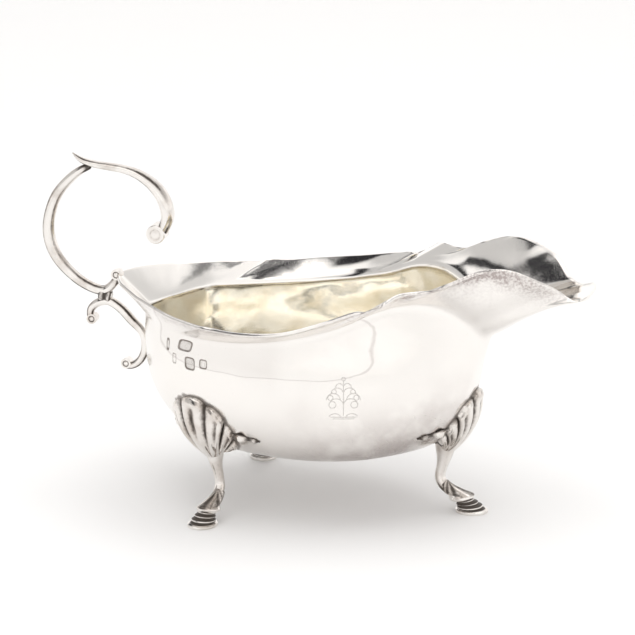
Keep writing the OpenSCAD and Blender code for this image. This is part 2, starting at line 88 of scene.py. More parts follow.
bend_rows = (
    measured([[0, .1, 0, -.015, 0], [4, .145, .255, -.01, 0], [9.6, .25, .565, .005, 0],
              [15, .39, .735, .015, 0], [20, .56, .817, .07, 0], [24.5, .73, .813, .19, 0],
              [28, .85, .743, .385, 0], [30.7, .93, .657, .575, 0]], rim_w / 2, rim_z - flare_h)
    + measured([[33, 1.01, .941, .7, 0], [36, 1.16, .735, .67, 0], [39.5, 1.3, .519, .42, 0],
                [43, 1.39, .32, .1, 0], [45.7, 1.435, .17, -.045, 0], [48, 1.45, 0, -.085, 0]],
               spout_w / 2, rim_z - flare_h))
belly_rows = measured([[0, .1, 0, 0, 0], [5.8, .17, .44, 0, 0], [11.5, .306, .785, 0, 0],
                       [18.2, .526, .977, 0, 0], [24, .75, 1, 0, 0], [29.3, .954, .868, 0, 0],
                       [35, 1.18, .577, 0, 0], [42, 1.36, .266, 0, 0], [48, 1.39, 0, 0, 0]],
                      belly_w / 2, belly_z)
print("stations in the rim:", len(rim_rows))

# %% [markdown]
# A line through so few stations is drawn as a smooth cubic, with a break at each cusp of the scalloped
# rim. A mirror finish shows every change of curvature, so the lines are then softened a little along
# their length, the bend and the belly more than the rim, which has to keep its cusps.

# %% Smooth lines round the bowl
per_station = 12
loop_n = 96 * per_station
flip = np.array([1, -1, 1])


def line_round(rows, soften):
    """The whole line: from the handle along the right side (-Y) to the lip, and back on the left."""
    rows = np.array(rows, float)
    s, where, corner = rows[:, 0], rows[:, 1:4], rows[:, 4] > 0
    s = np.concatenate([[-s[1]], s, [96 - s[-2]]])
    where = np.vstack([where[1] * flip, where, where[-2] * flip])
    corner = np.concatenate([[corner[1]], corner, [corner[-2]]])
    at = np.arange(loop_n // 2 + 1) / per_station
    k = np.clip(np.searchsorted(s, at, side="right") - 1, 1, len(s) - 3)
    a, b = where[k], where[k + 1]
    h = (s[k + 1] - s[k])[:, None]
    t = (at[:, None] - s[k][:, None]) / h
    chord = (b - a) / h
    leave = np.where(corner[k][:, None], chord, (b - where[k - 1]) / (s[k + 1] - s[k - 1])[:, None])
    arrive = np.where(corner[k + 1][:, None], chord, (where[k + 2] - a) / (s[k + 2] - s[k])[:, None])
    half = (a * (2 * t**3 - 3 * t**2 + 1) + leave * h * (t**3 - 2 * t**2 + t)
            + b * (3 * t**2 - 2 * t**3) + arrive * h * (t**3 - t**2))
    return soft(np.vstack([half, (half * flip)[-2:0:-1]]) * flip, soften)


def soft(loop, stations):
    """Averages a closed loop with its neighbours, weighted like a bell."""
    reach = round(4 * stations * per_station)
    steps = np.arange(-reach, reach + 1)
    bell = np.exp(-(steps / per_station / stations) ** 2 / 2)
    return sum(w * np.roll(loop, d, axis=0) for d, w in zip(steps, bell / bell.sum()))


rim, bend, belly = line_round(rim_rows, .12), line_round(bend_rows, 1.3), line_round(belly_rows, 1.6)
print("places on each line:", len(rim))

# %% [markdown]
# Between keel and rim, twelve control points shape the section at every station: a flat bottom, a
# round belly, a rounded crease at the bend and the out-turned border. At the spout the border opens
# into a trough, so two of the points bow outwards and upwards there.

# %% Sections from the keel to the rim
station_at = np.arange(loop_n) / per_station
side_station = np.where(station_at <= 48, station_at, 96 - station_at)
spoutness = np.clip((side_station / 48 - .62) / .38, 0, 1)
keel = np.array([keel_x, 0, keel_z]) + belly * 0


def below(out_share, up_share):
    """A control point between the keel and the belly."""
    p = keel + out_share * (belly - keel)
    p[:, 2] = keel_z + up_share * (belly[:, 2] - keel_z)
    return p


def bow(across, up):
    """How far the trough of the spout bows out and up."""
    y = np.where(station_at <= 48, -2.2, 2.2) * np.sin(np.pi * spoutness)
    return np.stack([y * 0, across * y, up * spoutness**1.5], 1)


flare = rim - bend
rise = np.stack([rim[:, 0] * 0, rim[:, 0] * 0, .16 * (bend[:, 2] - belly[:, 2])], 1)
net = np.array([keel, below(.43, 0), below(.8, .184), below(.97, .66), belly + rise,
                belly + .62 * (bend - belly), bend - .13 * (bend - belly), bend,
                bend + .14 * flare + bow(.4, .2), bend + .36 * flare + bow(1, 1.8),
                rim - .3 * flare + bow(.4, 2.6), rim])
print("control points:", net.shape)

# %% Any place on the outside of the bowl
def drape(net, heights):
    """Follows the control points smoothly: one row of places for each height from 0 (keel) to 1 (rim)."""
    n = len(net)
    c = np.concatenate([[2 * net[0] - net[1]], net, [2 * net[-1] - net[-2]]])
    u = np.asarray(heights, float) * (n - 1)
    k = np.clip(np.floor(u).astype(int), 0, n - 2)
    f = (u - k).reshape(-1, *[1] * (net.ndim - 1))
    return (c[k] * (1 - f)**3 + c[k + 1] * (3 * f**3 - 6 * f**2 + 4)
            + c[k + 2] * (3 * f**2 - 3 * f**3 + 3 * f + 1) + c[k + 3] * f**3) / 6


def bowl_at(station, height):
    """One place on the outside of the bowl."""
    u = station * per_station
    k = math.floor(u)
    f = u - k
    column = net[:, k % loop_n] * (1 - f) + net[:, (k + 1) % loop_n] * f
    return drape(column, [height])[0]


def unit(v):
    """The same direction with length 1, for one vector or many."""
    return v / (np.linalg.norm(v, axis=-1, keepdims=True) + 1e-12)


def bowl_face(station, height):
    """The outward direction there."""
    return unit(np.cross(bowl_at(station + .2, height) - bowl_at(station - .2, height),
                         bowl_at(station, height + .004) - bowl_at(station, height - .004)))


print("widest place:", bowl_at(20, .35).round(1), "faces", bowl_face(20, .35).round(2))

# %% [markdown]
# ## Turning places into meshes
# Most of this boat is either a grid of places (the sheet of the bowl, the fluted shells) or a row of
# rings (the scrolls and the shanks). Short helpers close such grids into solids, make the object, set
# smooth shading and have Blender turn every face outwards. A mesh can also carry a number at each
# place, such as how deep a groove is there, and the finishes read those numbers later.

# %% Helpers for meshes
def nothing_selected():
    """Operators act on all that is selected, so everything is let go first."""
    if bpy.context.object and bpy.context.object.mode != "OBJECT":
        bpy.ops.object.mode_set(mode="OBJECT")
    bpy.ops.object.select_all(action="DESELECT")


def pick(obj):
    """Makes one object the only selected and the active one."""
    nothing_selected()
    obj.select_set(True)
    bpy.context.view_layer.objects.active = obj
    return obj


def faces_out(obj, smooth_angle=None):
    """Merges doubles, turns the faces outwards and shades the piece smooth."""
    pick(obj)
    bpy.ops.object.mode_set(mode="EDIT")
    bpy.ops.mesh.select_all(action="SELECT")
    bpy.ops.mesh.remove_doubles(threshold=2e-6)
    bpy.ops.mesh.normals_make_consistent(inside=False)
    bpy.ops.object.mode_set(mode="OBJECT")
    if smooth_angle is None:
        bpy.ops.object.shade_smooth()
    else:
        bpy.ops.object.shade_smooth_by_angle(angle=math.radians(smooth_angle))
    return obj


def carry(mesh, mark, values):
    """Lets a mesh carry one number at each place, which a finish can read by its name."""
    mesh.attributes.new(mark, "FLOAT", "POINT").data.foreach_set("value", np.asarray(values, np.float32))


def places_of(obj):
    """The places of a mesh in millimetres, as three lists x, y and z."""
    return np.array([v.co for v in obj.data.vertices]).T / mm


def mesh_piece(name, places, faces, marks=None, smooth_angle=None):
    """An object from places in millimetres, with named values for the finish at each place."""
    mesh = bpy.data.meshes.new(name)
    mesh.from_pydata((np.asarray(places) * mm).tolist(), [], faces)
    for mark, values in (marks or {}).items():
        carry(mesh, mark, values)
    obj = bpy.data.objects.new(name, mesh)
    bpy.context.scene.collection.objects.link(obj)
    return faces_out(obj, smooth_angle)


def grid_faces(rows, columns, first=0, around=False):
    """The squares between rows of places; with around the last column joins the first."""
    wide = columns if around else columns - 1
    return [[first + j * columns + i, first + j * columns + (i + 1) % columns,
             first + (j + 1) * columns + (i + 1) % columns, first + (j + 1) * columns + i]
            for j in range(rows - 1) for i in range(wide)]


def ringed(name, rings, marks=None, smooth_angle=None):
    """A solid through a row of rings, closed at both ends by a fan to the middle."""
    rings = np.asarray(rings)
    m, n = rings.shape[:2]
    faces = grid_faces(m, n, around=True)
    faces += [[m * n, (i + 1) % n, i] for i in range(n)]
    faces += [[m * n + 1, (m - 1) * n + i, (m - 1) * n + (i + 1) % n] for i in range(n)]
    places = np.vstack([rings.reshape(-1, 3), rings[0].mean(0), rings[-1].mean(0)])
    marks = {mark: np.concatenate([values.ravel(), [values[0].mean()], [values[-1].mean()]])
             for mark, values in (marks or {}).items()}
    return mesh_piece(name, places, faces, marks, smooth_angle)


print("helpers ready")

# %% [markdown]
# ## The bowl and spout
# The real bowl is one sheet of silver a little over a millimetre thick. Its outside is drawn from the
# sections, the inside is the same surface moved inwards, and a small rounded edge joins the two, so
# the rim catches a thin line of light. The hammer leaves the sheet faintly uneven, most of all inside,
# and this is what makes reflections in old silver swim. So both faces get slow, shallow waves.

# %% Stations and heights, closer together where the punched marks will be
punch_stations, punch_heights = range(104, 196), np.linspace(.385, .57, 50)
around_idx = sorted(set(range(0, loop_n, 4)) | set(punch_stations))
heights_out = np.unique(np.concatenate([np.linspace(0, 1, 85)[1:], punch_heights]).round(5))
heights_in = np.linspace(0, 1, 79)[1:]
print("stations:", len(around_idx), "heights outside:", len(heights_out), "inside:", len(heights_in))

# %% The outside surface and its directions
def surface(heights):
    """Places, outward directions and upward directions at every station."""
    p = drape(net, heights)
    step = .002
    up = unit(drape(net, np.clip(heights + step, 0, 1)) - drape(net, np.clip(heights - step, 0, 1)))
    on = np.roll(p, -2, axis=1) - np.roll(p, 2, axis=1)
    out = unit(np.cross(on, up))
    out = unit(np.stack([soft(row, .3) for row in out]))
    return p[:, around_idx], out[:, around_idx], up[:, around_idx]


def waves(p, size, depth, seed):
    """Shallow waves over the places p, about size millimetres apart."""
    flat = p.reshape(-1, 3)
    offset = Vector((seed, seed * 2.3, -seed))
    return depth * np.array([noise.noise(Vector(q / size) + offset) for q in flat]).reshape(p.shape[:-1])


outside, out_dir, up_dir = surface(heights_out)
print("outside spans", np.ptp(outside.reshape(-1, 3), axis=0).round(1), "mm")

# %% [markdown]
# Makers and assay offices strike small punches below the rim. Here the marks carry no signs at all:
# they are blank sunk shapes, a few worn nearly flat. Each is pressed into the sheet by moving the
# places inside its outline inwards, which is what a punch does.

# %% Blank punched marks
def soft_step(x, edge):
    """0 outside, 1 inside, with a smooth edge."""
    t = np.clip(x / edge + .5, 0, 1)
    return t * t * (3 - 2 * t)


punches = [  # station, height, half width, half height, lean of the sides, depth
    [10.1, .492, .8, 2, .15, .13], [13.05, .523, 2.9, 1.8, .9, .2], [11.05, .424, 1.05, 1.75, 0, .09],
    [13.2, .42, 2.05, 2, -.2, .2], [14.95, .43, 1.5, 1.5, 0, .15]]
marked = np.zeros(outside.shape[:2])
for s, v, half_w, half_h, lean, deep in punches:
    middle, face = bowl_at(s, v), bowl_face(s, v)
    across = unit(np.cross([0, 0, 1], face))
    high = np.cross(face, across)
    rel = outside - middle
    x, z = rel @ across, rel @ high
    near = soft_step(3 - np.abs(rel @ face), .5)
    far = (np.abs((x + lean * (half_h - z) * .35) / half_w) ** 4 + np.abs(z / half_h) ** 4) ** .25
    room = (1 - far) * min(half_w, half_h)
    pressed = soft_step(room, .35) * near
    outline = np.exp(-((room - .12) / .2) ** 2) * near
    marked = np.maximum(marked, (outline + pressed * .42) * deep / .17)
    ridge = soft_step(.22 - np.abs(np.abs(x) - half_w * .4), .2) * soft_step(half_h * .62 - np.abs(z), .3)
    marked = np.maximum(marked, ridge * pressed * .5)
    outside = outside - ((pressed * deep - pressed * ridge * deep * .5)[..., None]) * out_dir
print("places pressed in:", int((marked > .1).sum()))

# %% [markdown]
# Three legs carry the bowl. They stand here already, because old silver is always dark along the edge
# of a soldered piece, and the sheet must carry that dark margin around each shell. A leg is drawn in
# its own terms: how far out from the middle of its sole, how far aside, and how high. One function
# turns that into a place on the boat.

# %% Where the legs stand
shell_w, shell_rise, shell_z = 21, 12, 31
rear_leg = {"x": -26.5, "y": -34.9, "turn": math.radians(250), "lean": -3.5, "knee": 21.4}
front_leg = {"x": 52.6, "y": 0, "turn": 0, "lean": 0, "knee": 20.7}


def on_leg(leg, out, aside, up):
    """A place on a leg, or many places when the three are lists."""
    out, aside, up = (np.asarray(v, float) for v in (out, aside, up))
    side = aside + leg["lean"] * up / (shell_z + shell_rise)
    c, s = math.cos(leg["turn"]), math.sin(leg["turn"])
    x, y = leg["x"] + out * c - side * s, leg["y"] + out * s + side * c
    return np.stack(np.broadcast_arrays(x, y, up), -1)


def halve(wanted, low, high):
    """Finds where a rising function passes zero, by halving."""
    for _ in range(24):
        middle = (low + high) / 2
        low, high = (low, middle) if wanted(middle) > 0 else (middle, high)
    return (low + high) / 2


def height_at(station, z):
    """The height share on the bowl at a station where it lies z above the table."""
    return halve(lambda v: bowl_at(station, v)[2] - z, .05, .55)


def shell_place(leg):
    """Station and height of the middle of a leg's shell, and its half sizes in stations and heights."""
    s = 48.0  # the front leg stands under the lip, a rear leg where its own middle line meets the bowl
    if leg is not front_leg:
        c, n = math.cos(leg["turn"]), math.sin(leg["turn"])

        def aside(station):
            x, y, z = bowl_at(station, v)
            return (y - leg["y"]) * c - (x - leg["x"]) * n - leg["lean"] * z / (shell_z + shell_rise)

        v = height_at(10, shell_z)
        s = halve(aside, 1, 29)
        v = height_at(s, shell_z)
        s = halve(aside, 1, 29)
    v = height_at(s, shell_z)
    per_station_mm = np.linalg.norm(bowl_at(s + .5, v) - bowl_at(s - .5, v))
    per_height_mm = np.linalg.norm(bowl_at(s, v + .01) - bowl_at(s, v - .01)) / .02
    return s, v, shell_w / 2 / per_station_mm, shell_rise / per_height_mm


for leg in (rear_leg, front_leg):
    print("a shell at station and height", np.round(shell_place(leg)[:2], 3))

# %% [markdown]
# Now the sheet is closed. The outside, a small rounded edge and the inside become one skin, and a fan
# closes each face at the keel. The mesh carries what the silver has been through: the gold wash inside
# (gilt), the thin tarnish along the spout, with painted shade low on the belly and on the underside of
# the flare (veil_and_shade), the dirt in the punched marks (punched) and the dark margin around each
# soldered shell (margin).

# %% One closed sheet
flat_in, in_dir, _ = surface(heights_in)
inside = flat_in - wall * in_dir
calm_in = 1 - .55 * np.clip((heights_in / .64 - .75) / .3, 0, 1)
calm_out = np.clip((1 - heights_out) * 8, 0, 1)
hammered_in = waves(inside, 13, .3, 3) + waves(inside, 6, .07, 8)
inside += hammered_in[..., None] * in_dir * calm_in[:, None, None]
outside += waves(outside, 13, .06, 5)[..., None] * out_dir * calm_out[:, None, None]
turn = np.radians([30, 60, 90, 120, 150])[:, None, None]
edge_rows = len(turn)
edge = ((outside[-1] + inside[-1]) / 2 + np.cos(turn) * (outside[-1] - inside[-1]) / 2
        + .38 * np.sin(turn) * up_dir[-1])
skin = np.concatenate([outside, edge, inside[::-1]])
rows_n, cols_n = skin.shape[:2]
skin_faces = grid_faces(rows_n, cols_n, around=True)
skin_faces += [[rows_n * cols_n, (i + 1) % cols_n, i] for i in range(cols_n)]
skin_faces += [[rows_n * cols_n + 1, (rows_n - 1) * cols_n + i, (rows_n - 1) * cols_n + (i + 1) % cols_n]
               for i in range(cols_n)]
skin_places = np.vstack([skin.reshape(-1, 3), [[keel_x, 0, keel_z]], [[keel_x, 0, keel_z + wall]]])
print("skin:", rows_n, "rows of", cols_n, "places")

# %% The marks of wear and painted shade, and the finished sheet
def per_row(values_out, value_edge, values_in):
    """The same value all the way round each row of the sheet."""
    column = np.concatenate([values_out, np.full(edge_rows, value_edge), values_in[::-1]])
    return np.concatenate([np.repeat(column, cols_n), [values_out[0], values_in[0]]])


def bell(x, middle, spread):
    """A soft hump around a middle."""
    return np.exp(-((x - middle) / spread) ** 2)


side_of = side_station[around_idx]
by_spout = bell(side_of, 35.5, 5.5) + .35 * bell(side_of, 12, 8) + .25 * bell(side_of, 25, 6)
up_here = heights_out[:, None]
# The band along the rim is tarnish. The bells low on the belly near the spout, on the underside of the
# flare near the spout and all round the bottom are painted shade where the silver mirrors the floor's
# shadow, with a little tarnish there too.
veil_and_shade_out = (1.6 * bell(up_here, .97, .055) * by_spout + .3 * bell(up_here, .84, .1) * bell(side_of, 34, 7)
            + .6 * bell(up_here, .19, .11) * bell(side_of, 37, 12) + .2 * bell(up_here, .1, .1))
margin_out = np.zeros(outside.shape[:2])
station_of = station_at[around_idx]
for leg, mirror in ((rear_leg, False), (rear_leg, True), (front_leg, False)):
    s0, v0, half_s, half_v = shell_place(leg)
    gap_s = (station_of - (96 - s0 if mirror else s0)) / half_s
    far = np.hypot(gap_s[None], (up_here - v0) / half_v)
    margin_out = np.maximum(margin_out, 1.25 * bell(far, .99, .13))


def outside_only(values):
    """Values for the outside of the sheet, and 0 everywhere else."""
    return np.concatenate([values.ravel(), np.zeros(len(skin_places) - values.size)])


veil_and_shade_edge = np.repeat(veil_and_shade_out[-1:] * .5, edge_rows, 0)
no_out, gilt = heights_out * 0, soft_step(.628 - heights_in, .02)
bowl = mesh_piece("bowl_sheet", skin_places, skin_faces, {
    "gilt": per_row(no_out, 0, gilt), "inner": per_row(no_out, .5, heights_in * 0 + 1),
    "veil_and_shade": outside_only(np.vstack([veil_and_shade_out, veil_and_shade_edge])), "punched": outside_only(marked),
    "margin": outside_only(margin_out)})
print("bowl:", len(bowl.data.polygons), "faces")

# %% [markdown]
# ## The scroll handle
# The handle is cast in three tapering bars that are soldered together: a big rear scroll, a top scroll
# that rests on it and curls down in front as a thumb piece, and a small lower scroll that touches the
# back of the bowl. Each bar is a row of oval rings along a drawn line. The line is given by a few
# places with the thickness there, and the rings between them are worked out smoothly.

# %% A tapering bar
bar_sides, cap_rings = 36, 5


def smooth_rows(rows, count, soften=.35):
    """Many rows on a smooth curve through a few, softened a little so that no kink is left."""
    rows = np.array(rows, float)
    t = np.linspace(0, len(rows) - 1, count)
    k = np.clip(np.floor(t).astype(int), 0, len(rows) - 2)
    f = (t - k)[:, None]
    ends = np.vstack([2 * rows[0] - rows[1], rows, 2 * rows[-1] - rows[-2]])
    a, b, c, d = (ends[k + i] for i in range(4))
    p = b + ((c - a) * f + (2 * a - 5 * b + 4 * c - d) * f**2 + (3 * b - a - 3 * c + d) * f**3) / 2
    per = count / (len(rows) - 1)
    reach = round(3 * soften * per)
    bell = np.exp(-(np.arange(-reach, reach + 1) / per / soften) ** 2 / 2)
    bell /= bell.sum()
    padded = np.vstack([2 * p[0] - p[reach:0:-1], p, 2 * p[-1] - p[-2:-reach - 2:-1]])
    return sum(w * padded[i:i + count] for i, w in enumerate(bell))


def bar(name, path, thick, broad, side, profile, sides, marks):
    """Oval rings along a path; thick is measured in the plane of the bar, broad along side."""
    way = unit(np.gradient(path, axis=0))
    side = np.asarray(side, float)
    normal = unit(np.cross(way, side))
    angle = np.arange(sides) * 2 * np.pi / sides
    swell = profile(angle)
    close = np.linspace(0, 1, cap_rings + 2)[1:-1]
    ends = [0] * cap_rings + list(range(len(path))) + [len(path) - 1] * cap_rings
    size = np.concatenate([np.sin(close * np.pi / 2), np.ones(len(path)), np.cos(close * np.pi / 2)])
    shift = np.concatenate([-np.cos(close * np.pi / 2), np.zeros(len(path)), np.sin(close * np.pi / 2)])
    rings = [path[i] + shift[j] * way[i] * thick[i] / 2
             + size[j] * swell[:, None] * (np.cos(angle)[:, None] * normal[i] * thick[i] / 2
                                           + np.sin(angle)[:, None] * side * broad[i] / 2)
             for j, i in enumerate(ends)]
    return ringed(name, rings, {mark: values[ends] for mark, values in marks.items()})


def scroll(name, rows, count, profile, dark_start, dark_end, seed):
    """A bar in the middle plane of the boat, from rows of [x, z, thickness, breadth]."""
    r = smooth_rows(rows, count)
    path = np.stack([r[:, 0], r[:, 0] * 0, r[:, 1]], 1)
    angle = np.arange(bar_sides) * 2 * np.pi / bar_sides
    # Painted reflection: dark lines along both flanks of each bar stand for the dark bands a polished bar
    # reflects near its edges. The dark at each joint is real dirt in the join.
    painted_edge_reflection = bell(np.cos(angle), .72, .26) * .95 + bell(np.cos(angle), -.76, .22) * .9
    t = np.linspace(0, 1, count)
    uneven = np.array([.7 + .8 * noise.noise(Vector((q * 5, seed * 3.7, .5))) for q in t])
    joint = dark_start * bell(t, 0, .05) + dark_end * bell(t, 1, .05)
    groove = np.clip(uneven, .1, 1)[:, None] * painted_edge_reflection + joint[:, None]
    return bar(name, path, r[:, 2], r[:, 3], [0, 1, 0], profile, bar_sides, {"groove": groove})


print("a bar has", bar_sides, "sides and", cap_rings, "rings in each rounded end")

# %% The lines of the three scrolls
rear_z = rim_z + 3.5


def handle_rows(table, thick, broad):
    """Turns [share of the reach, share of the rise, thickness, breadth] into millimetres."""
    return [[point_x - b * handle_reach, rear_z + u * handle_rise, t * thick, w * broad]
            for b, u, t, w in ([*row, row[2]] if len(row) == 3 else row for row in table)]


rear_rows = handle_rows([[-.02, -.03, .75], [.045, -.085, .8], [.15, -.145, .9], [.3, -.134, .95],
                         [.48, -.086, 1], [.64, -.01, 1.05], [.79, .084, 1.1], [.885, .19, 1.15],
                         [.928, .296, 1.15], [.93, .4, 1.1], [.894, .509, 1.05], [.824, .623, 1],
                         [.722, .716, .95], [.584, .805, .85], [.461, .863, .75], [.36, .893, .6]],
                        3.4, 3.4)
top_rows = handle_rows([[.571, .995, .12], [.502, .962, .45], [.416, .935, .65], [.265, .915, .75],
                        [.09, .905, .8], [-.106, .893, .85], [-.265, .87, .95], [-.412, .828, 1.1],
                        [-.547, .765, 1.25], [-.645, .69, 1.35], [-.71, .597, 1.4], [-.725, .499, 1.35],
                        [-.66, .41, 1.2]], 3, 4.6)
rear_wall = bowl_at(0, .37)
touch_x, touch_z = rear_wall[0] - 1.05, rear_wall[2]
lower_rows = handle_rows([[.37, -.375, .8], [.365, -.31, .9], [.29, -.256, 1], [.167, -.225, 1.05],
                          [.049, -.235, 1.1], [-.094, -.3, 1.1], [-.212, -.383, 1.1]], 2.7, 3.1)
lower_rows += [[touch_x - 1.1, touch_z + 3.7, 2.7, 3.1], [touch_x, touch_z, 2.7, 3.1],
               [touch_x - .3, touch_z - 3.5, 2.7, 3], [touch_x - 1.7, touch_z - 6.3, 2.6, 3],
               [touch_x - 4.1, touch_z - 8.3, 2.4, 2.7], [touch_x - 6.6, touch_z - 8.6, 2.3, 2.7]]
print("the lower scroll touches the bowl at", round(touch_x, 1), round(touch_z, 1))

# %% [markdown]
# A cast scroll isn't quite round: the founder files it so that a soft ridge runs along its back. The
# rings get that ridge from a small swelling at one angle, which draws a bright line down the bar.

# %% The three scrolls
def ridged(angle):
    """A soft ridge on the outer side of a bar and a slight flat on the inner side."""
    turn_out = (angle + np.pi) % (2 * np.pi) - np.pi
    return 1 + .07 * np.exp(-(np.abs(turn_out) - np.pi) ** 2 / .09) - .03 * np.cos(angle)


rear_scroll = scroll("rear_scroll", rear_rows, 170, ridged, .5, .75, 1)
top_scroll = scroll("top_scroll", top_rows, 140, ridged, 0, .2, 2)
lower_scroll = scroll("lower_scroll", lower_rows, 120, ridged, .3, .3, 4)
print("scrolls:", [len(o.data.polygons) for o in (rear_scroll, top_scroll, lower_scroll)], "faces")

# %% [markdown]
# The small round pieces at the ends of the scrolls are modelled as by hand: a short cylinder whose two
# faces are inset and pushed in, inset again and pulled out as a button, as a rolled end looks from the
# side. A bevel and a subdivision surface round it like a casting, and it is laid across the boat.

# %% A rolled end
def turned_about(obj, middle, angles):
    """Turns and moves a finished mesh, then writes its place into the mesh."""
    pick(obj)
    obj.rotation_euler = angles
    obj.location = Vector(middle) * mm
    bpy.ops.object.transform_apply(location=True, rotation=True, scale=True)
    return obj


def rounded(obj, levels, bevel=0, corner=30):
    """Rounds a piece like a casting: a small bevel on its corners, then a subdivision surface."""
    pick(obj)
    if bevel:
        soft_edges = obj.modifiers.new("soft edges", "BEVEL")
        soft_edges.width, soft_edges.segments, soft_edges.limit_method = bevel * mm, 2, "ANGLE"
        soft_edges.angle_limit = math.radians(corner)
    finer = obj.modifiers.new("finer", "SUBSURF")
    finer.levels = finer.render_levels = levels
    for modifier in [m.name for m in obj.modifiers]:
        bpy.ops.object.modifier_apply(modifier=modifier)
    return obj


def faces_towards(obj, way, least=.9):
    """Selects, in edit mode, only the faces that look a given way."""
    bpy.ops.object.mode_set(mode="EDIT")
    bpy.ops.mesh.select_mode(type="FACE")
    bpy.ops.mesh.select_all(action="DESELECT")
    bpy.ops.object.mode_set(mode="OBJECT")
    for f in obj.data.polygons:
        f.select = f.normal.dot(Vector(way)) > least
    bpy.ops.object.mode_set(mode="EDIT")


def drum(name, diameter, width, middle, pit=.05, dirt=.8):
    """A rolled end: a rounded drum with a pit and a small button on both faces."""
    nothing_selected()
    bpy.ops.mesh.primitive_cylinder_add(vertices=24, radius=diameter / 2 * mm, depth=width * mm)
    obj = bpy.context.object
    obj.name = name
    for way in ((0, 0, 1), (0, 0, -1)):
        faces_towards(obj, way)
        bpy.ops.mesh.inset(thickness=diameter * .17 * mm, depth=0)
        bpy.ops.mesh.inset(thickness=diameter * .05 * mm, depth=-diameter * pit * mm)
        bpy.ops.mesh.inset(thickness=diameter * .104 * mm, depth=0)
        bpy.ops.mesh.inset(thickness=diameter * .04 * mm, depth=diameter * pit * .8 * mm)
        bpy.ops.object.mode_set(mode="OBJECT")
    x, y, z = places_of(rounded(obj, 1, diameter * .05))
    on_face = np.abs(z) > width * .3
    carry(obj.data, "groove", on_face * bell(np.hypot(x, y) / diameter, .26, .07) * dirt)
    return faces_out(turned_about(obj, middle, (math.pi / 2, 0, 0)))


top_end, lower_start, lower_end = top_rows[-1], lower_rows[0], lower_rows[-1]
top_volute = drum("top_volute", 6.2, 5.9, (top_end[0] - 1.98, 0, top_end[1] - 1.24), .02, .45)
upper_bead = drum("upper_bead", 3.4, 3.4, (lower_start[0] + .85, 0, lower_start[1] - .34))
lower_bead = drum("lower_bead", 3.4, 3.4, (lower_end[0] + .17, 0, lower_end[1] + 1.02))
rim_knob = drum("rim_knob", 3.6, 3.1, (point_x + .36, 0, rear_z + .18))
rolled_ends = top_volute, upper_bead, lower_bead, rim_knob
print("rolled ends:", [len(obj.data.polygons) for obj in rolled_ends], "faces")

# %% [markdown]
# Where the rear scroll and the lower scroll meet, a small turned collar hides the joint. It starts as
# a flat disc that is extruded along its axis in short steps, and each step is scaled to the next
# radius, as a turner works along a piece on the lathe.

# %% The collar
nothing_selected()
radius = 1.35
bpy.ops.mesh.primitive_circle_add(vertices=40, radius=radius * mm, fill_type="NGON")
collar = bpy.context.object
collar.name = "joint_collar"
bpy.ops.object.mode_set(mode="EDIT")
lathe = [(.5, 2), (.6, 2.2), (.7, 1.95), (.5, 1.8), (.7, 1.95), (.6, 2.2), (.5, 2), (.4, 1.35)]
collar_length = sum(go_up for go_up, _ in lathe)
for go_up, next_radius in lathe:
    bpy.ops.mesh.extrude_region_move(TRANSFORM_OT_translate={"value": (0, 0, go_up * mm)})
    bpy.ops.transform.resize(value=(next_radius / radius, next_radius / radius, 1))
    radius = next_radius
bpy.ops.object.mode_set(mode="OBJECT")
x, y, z = places_of(rounded(collar, 2))
carry(collar.data, "groove", .45 + .5 * bell(np.hypot(x, y), 1.75, .25))
collar_middle = Vector((point_x - .155 * handle_reach, 0, rear_z - .185 * handle_rise))
lean = math.radians(98)
start = collar_middle - Vector((math.sin(lean), 0, math.cos(lean))) * collar_length / 2
collar = faces_out(turned_about(collar, start, (0, lean, 0)))
print("collar:", len(collar.data.polygons), "faces")

# %% [markdown]
# ## The legs
# On each leg a cast shell fans out over the belly, a slender shank drops from it, and a stepped hoof
# stands on the table.
#
# A shell is a fan of rounded flutes with deep grooves between them. The middle flute is the broadest,
# a shallow hollow runs down each flute, and its end rolls over at the bowl. The fan starts from a
# hinge around the knee, swells out, and lies down on the bowl along a scalloped edge. It is a grid:
# one row of places for each direction of the fan, with the swelling worked out from the flutes.

# %% A fluted shell
flutes, fan_n, reach_n = 7, 168, 44


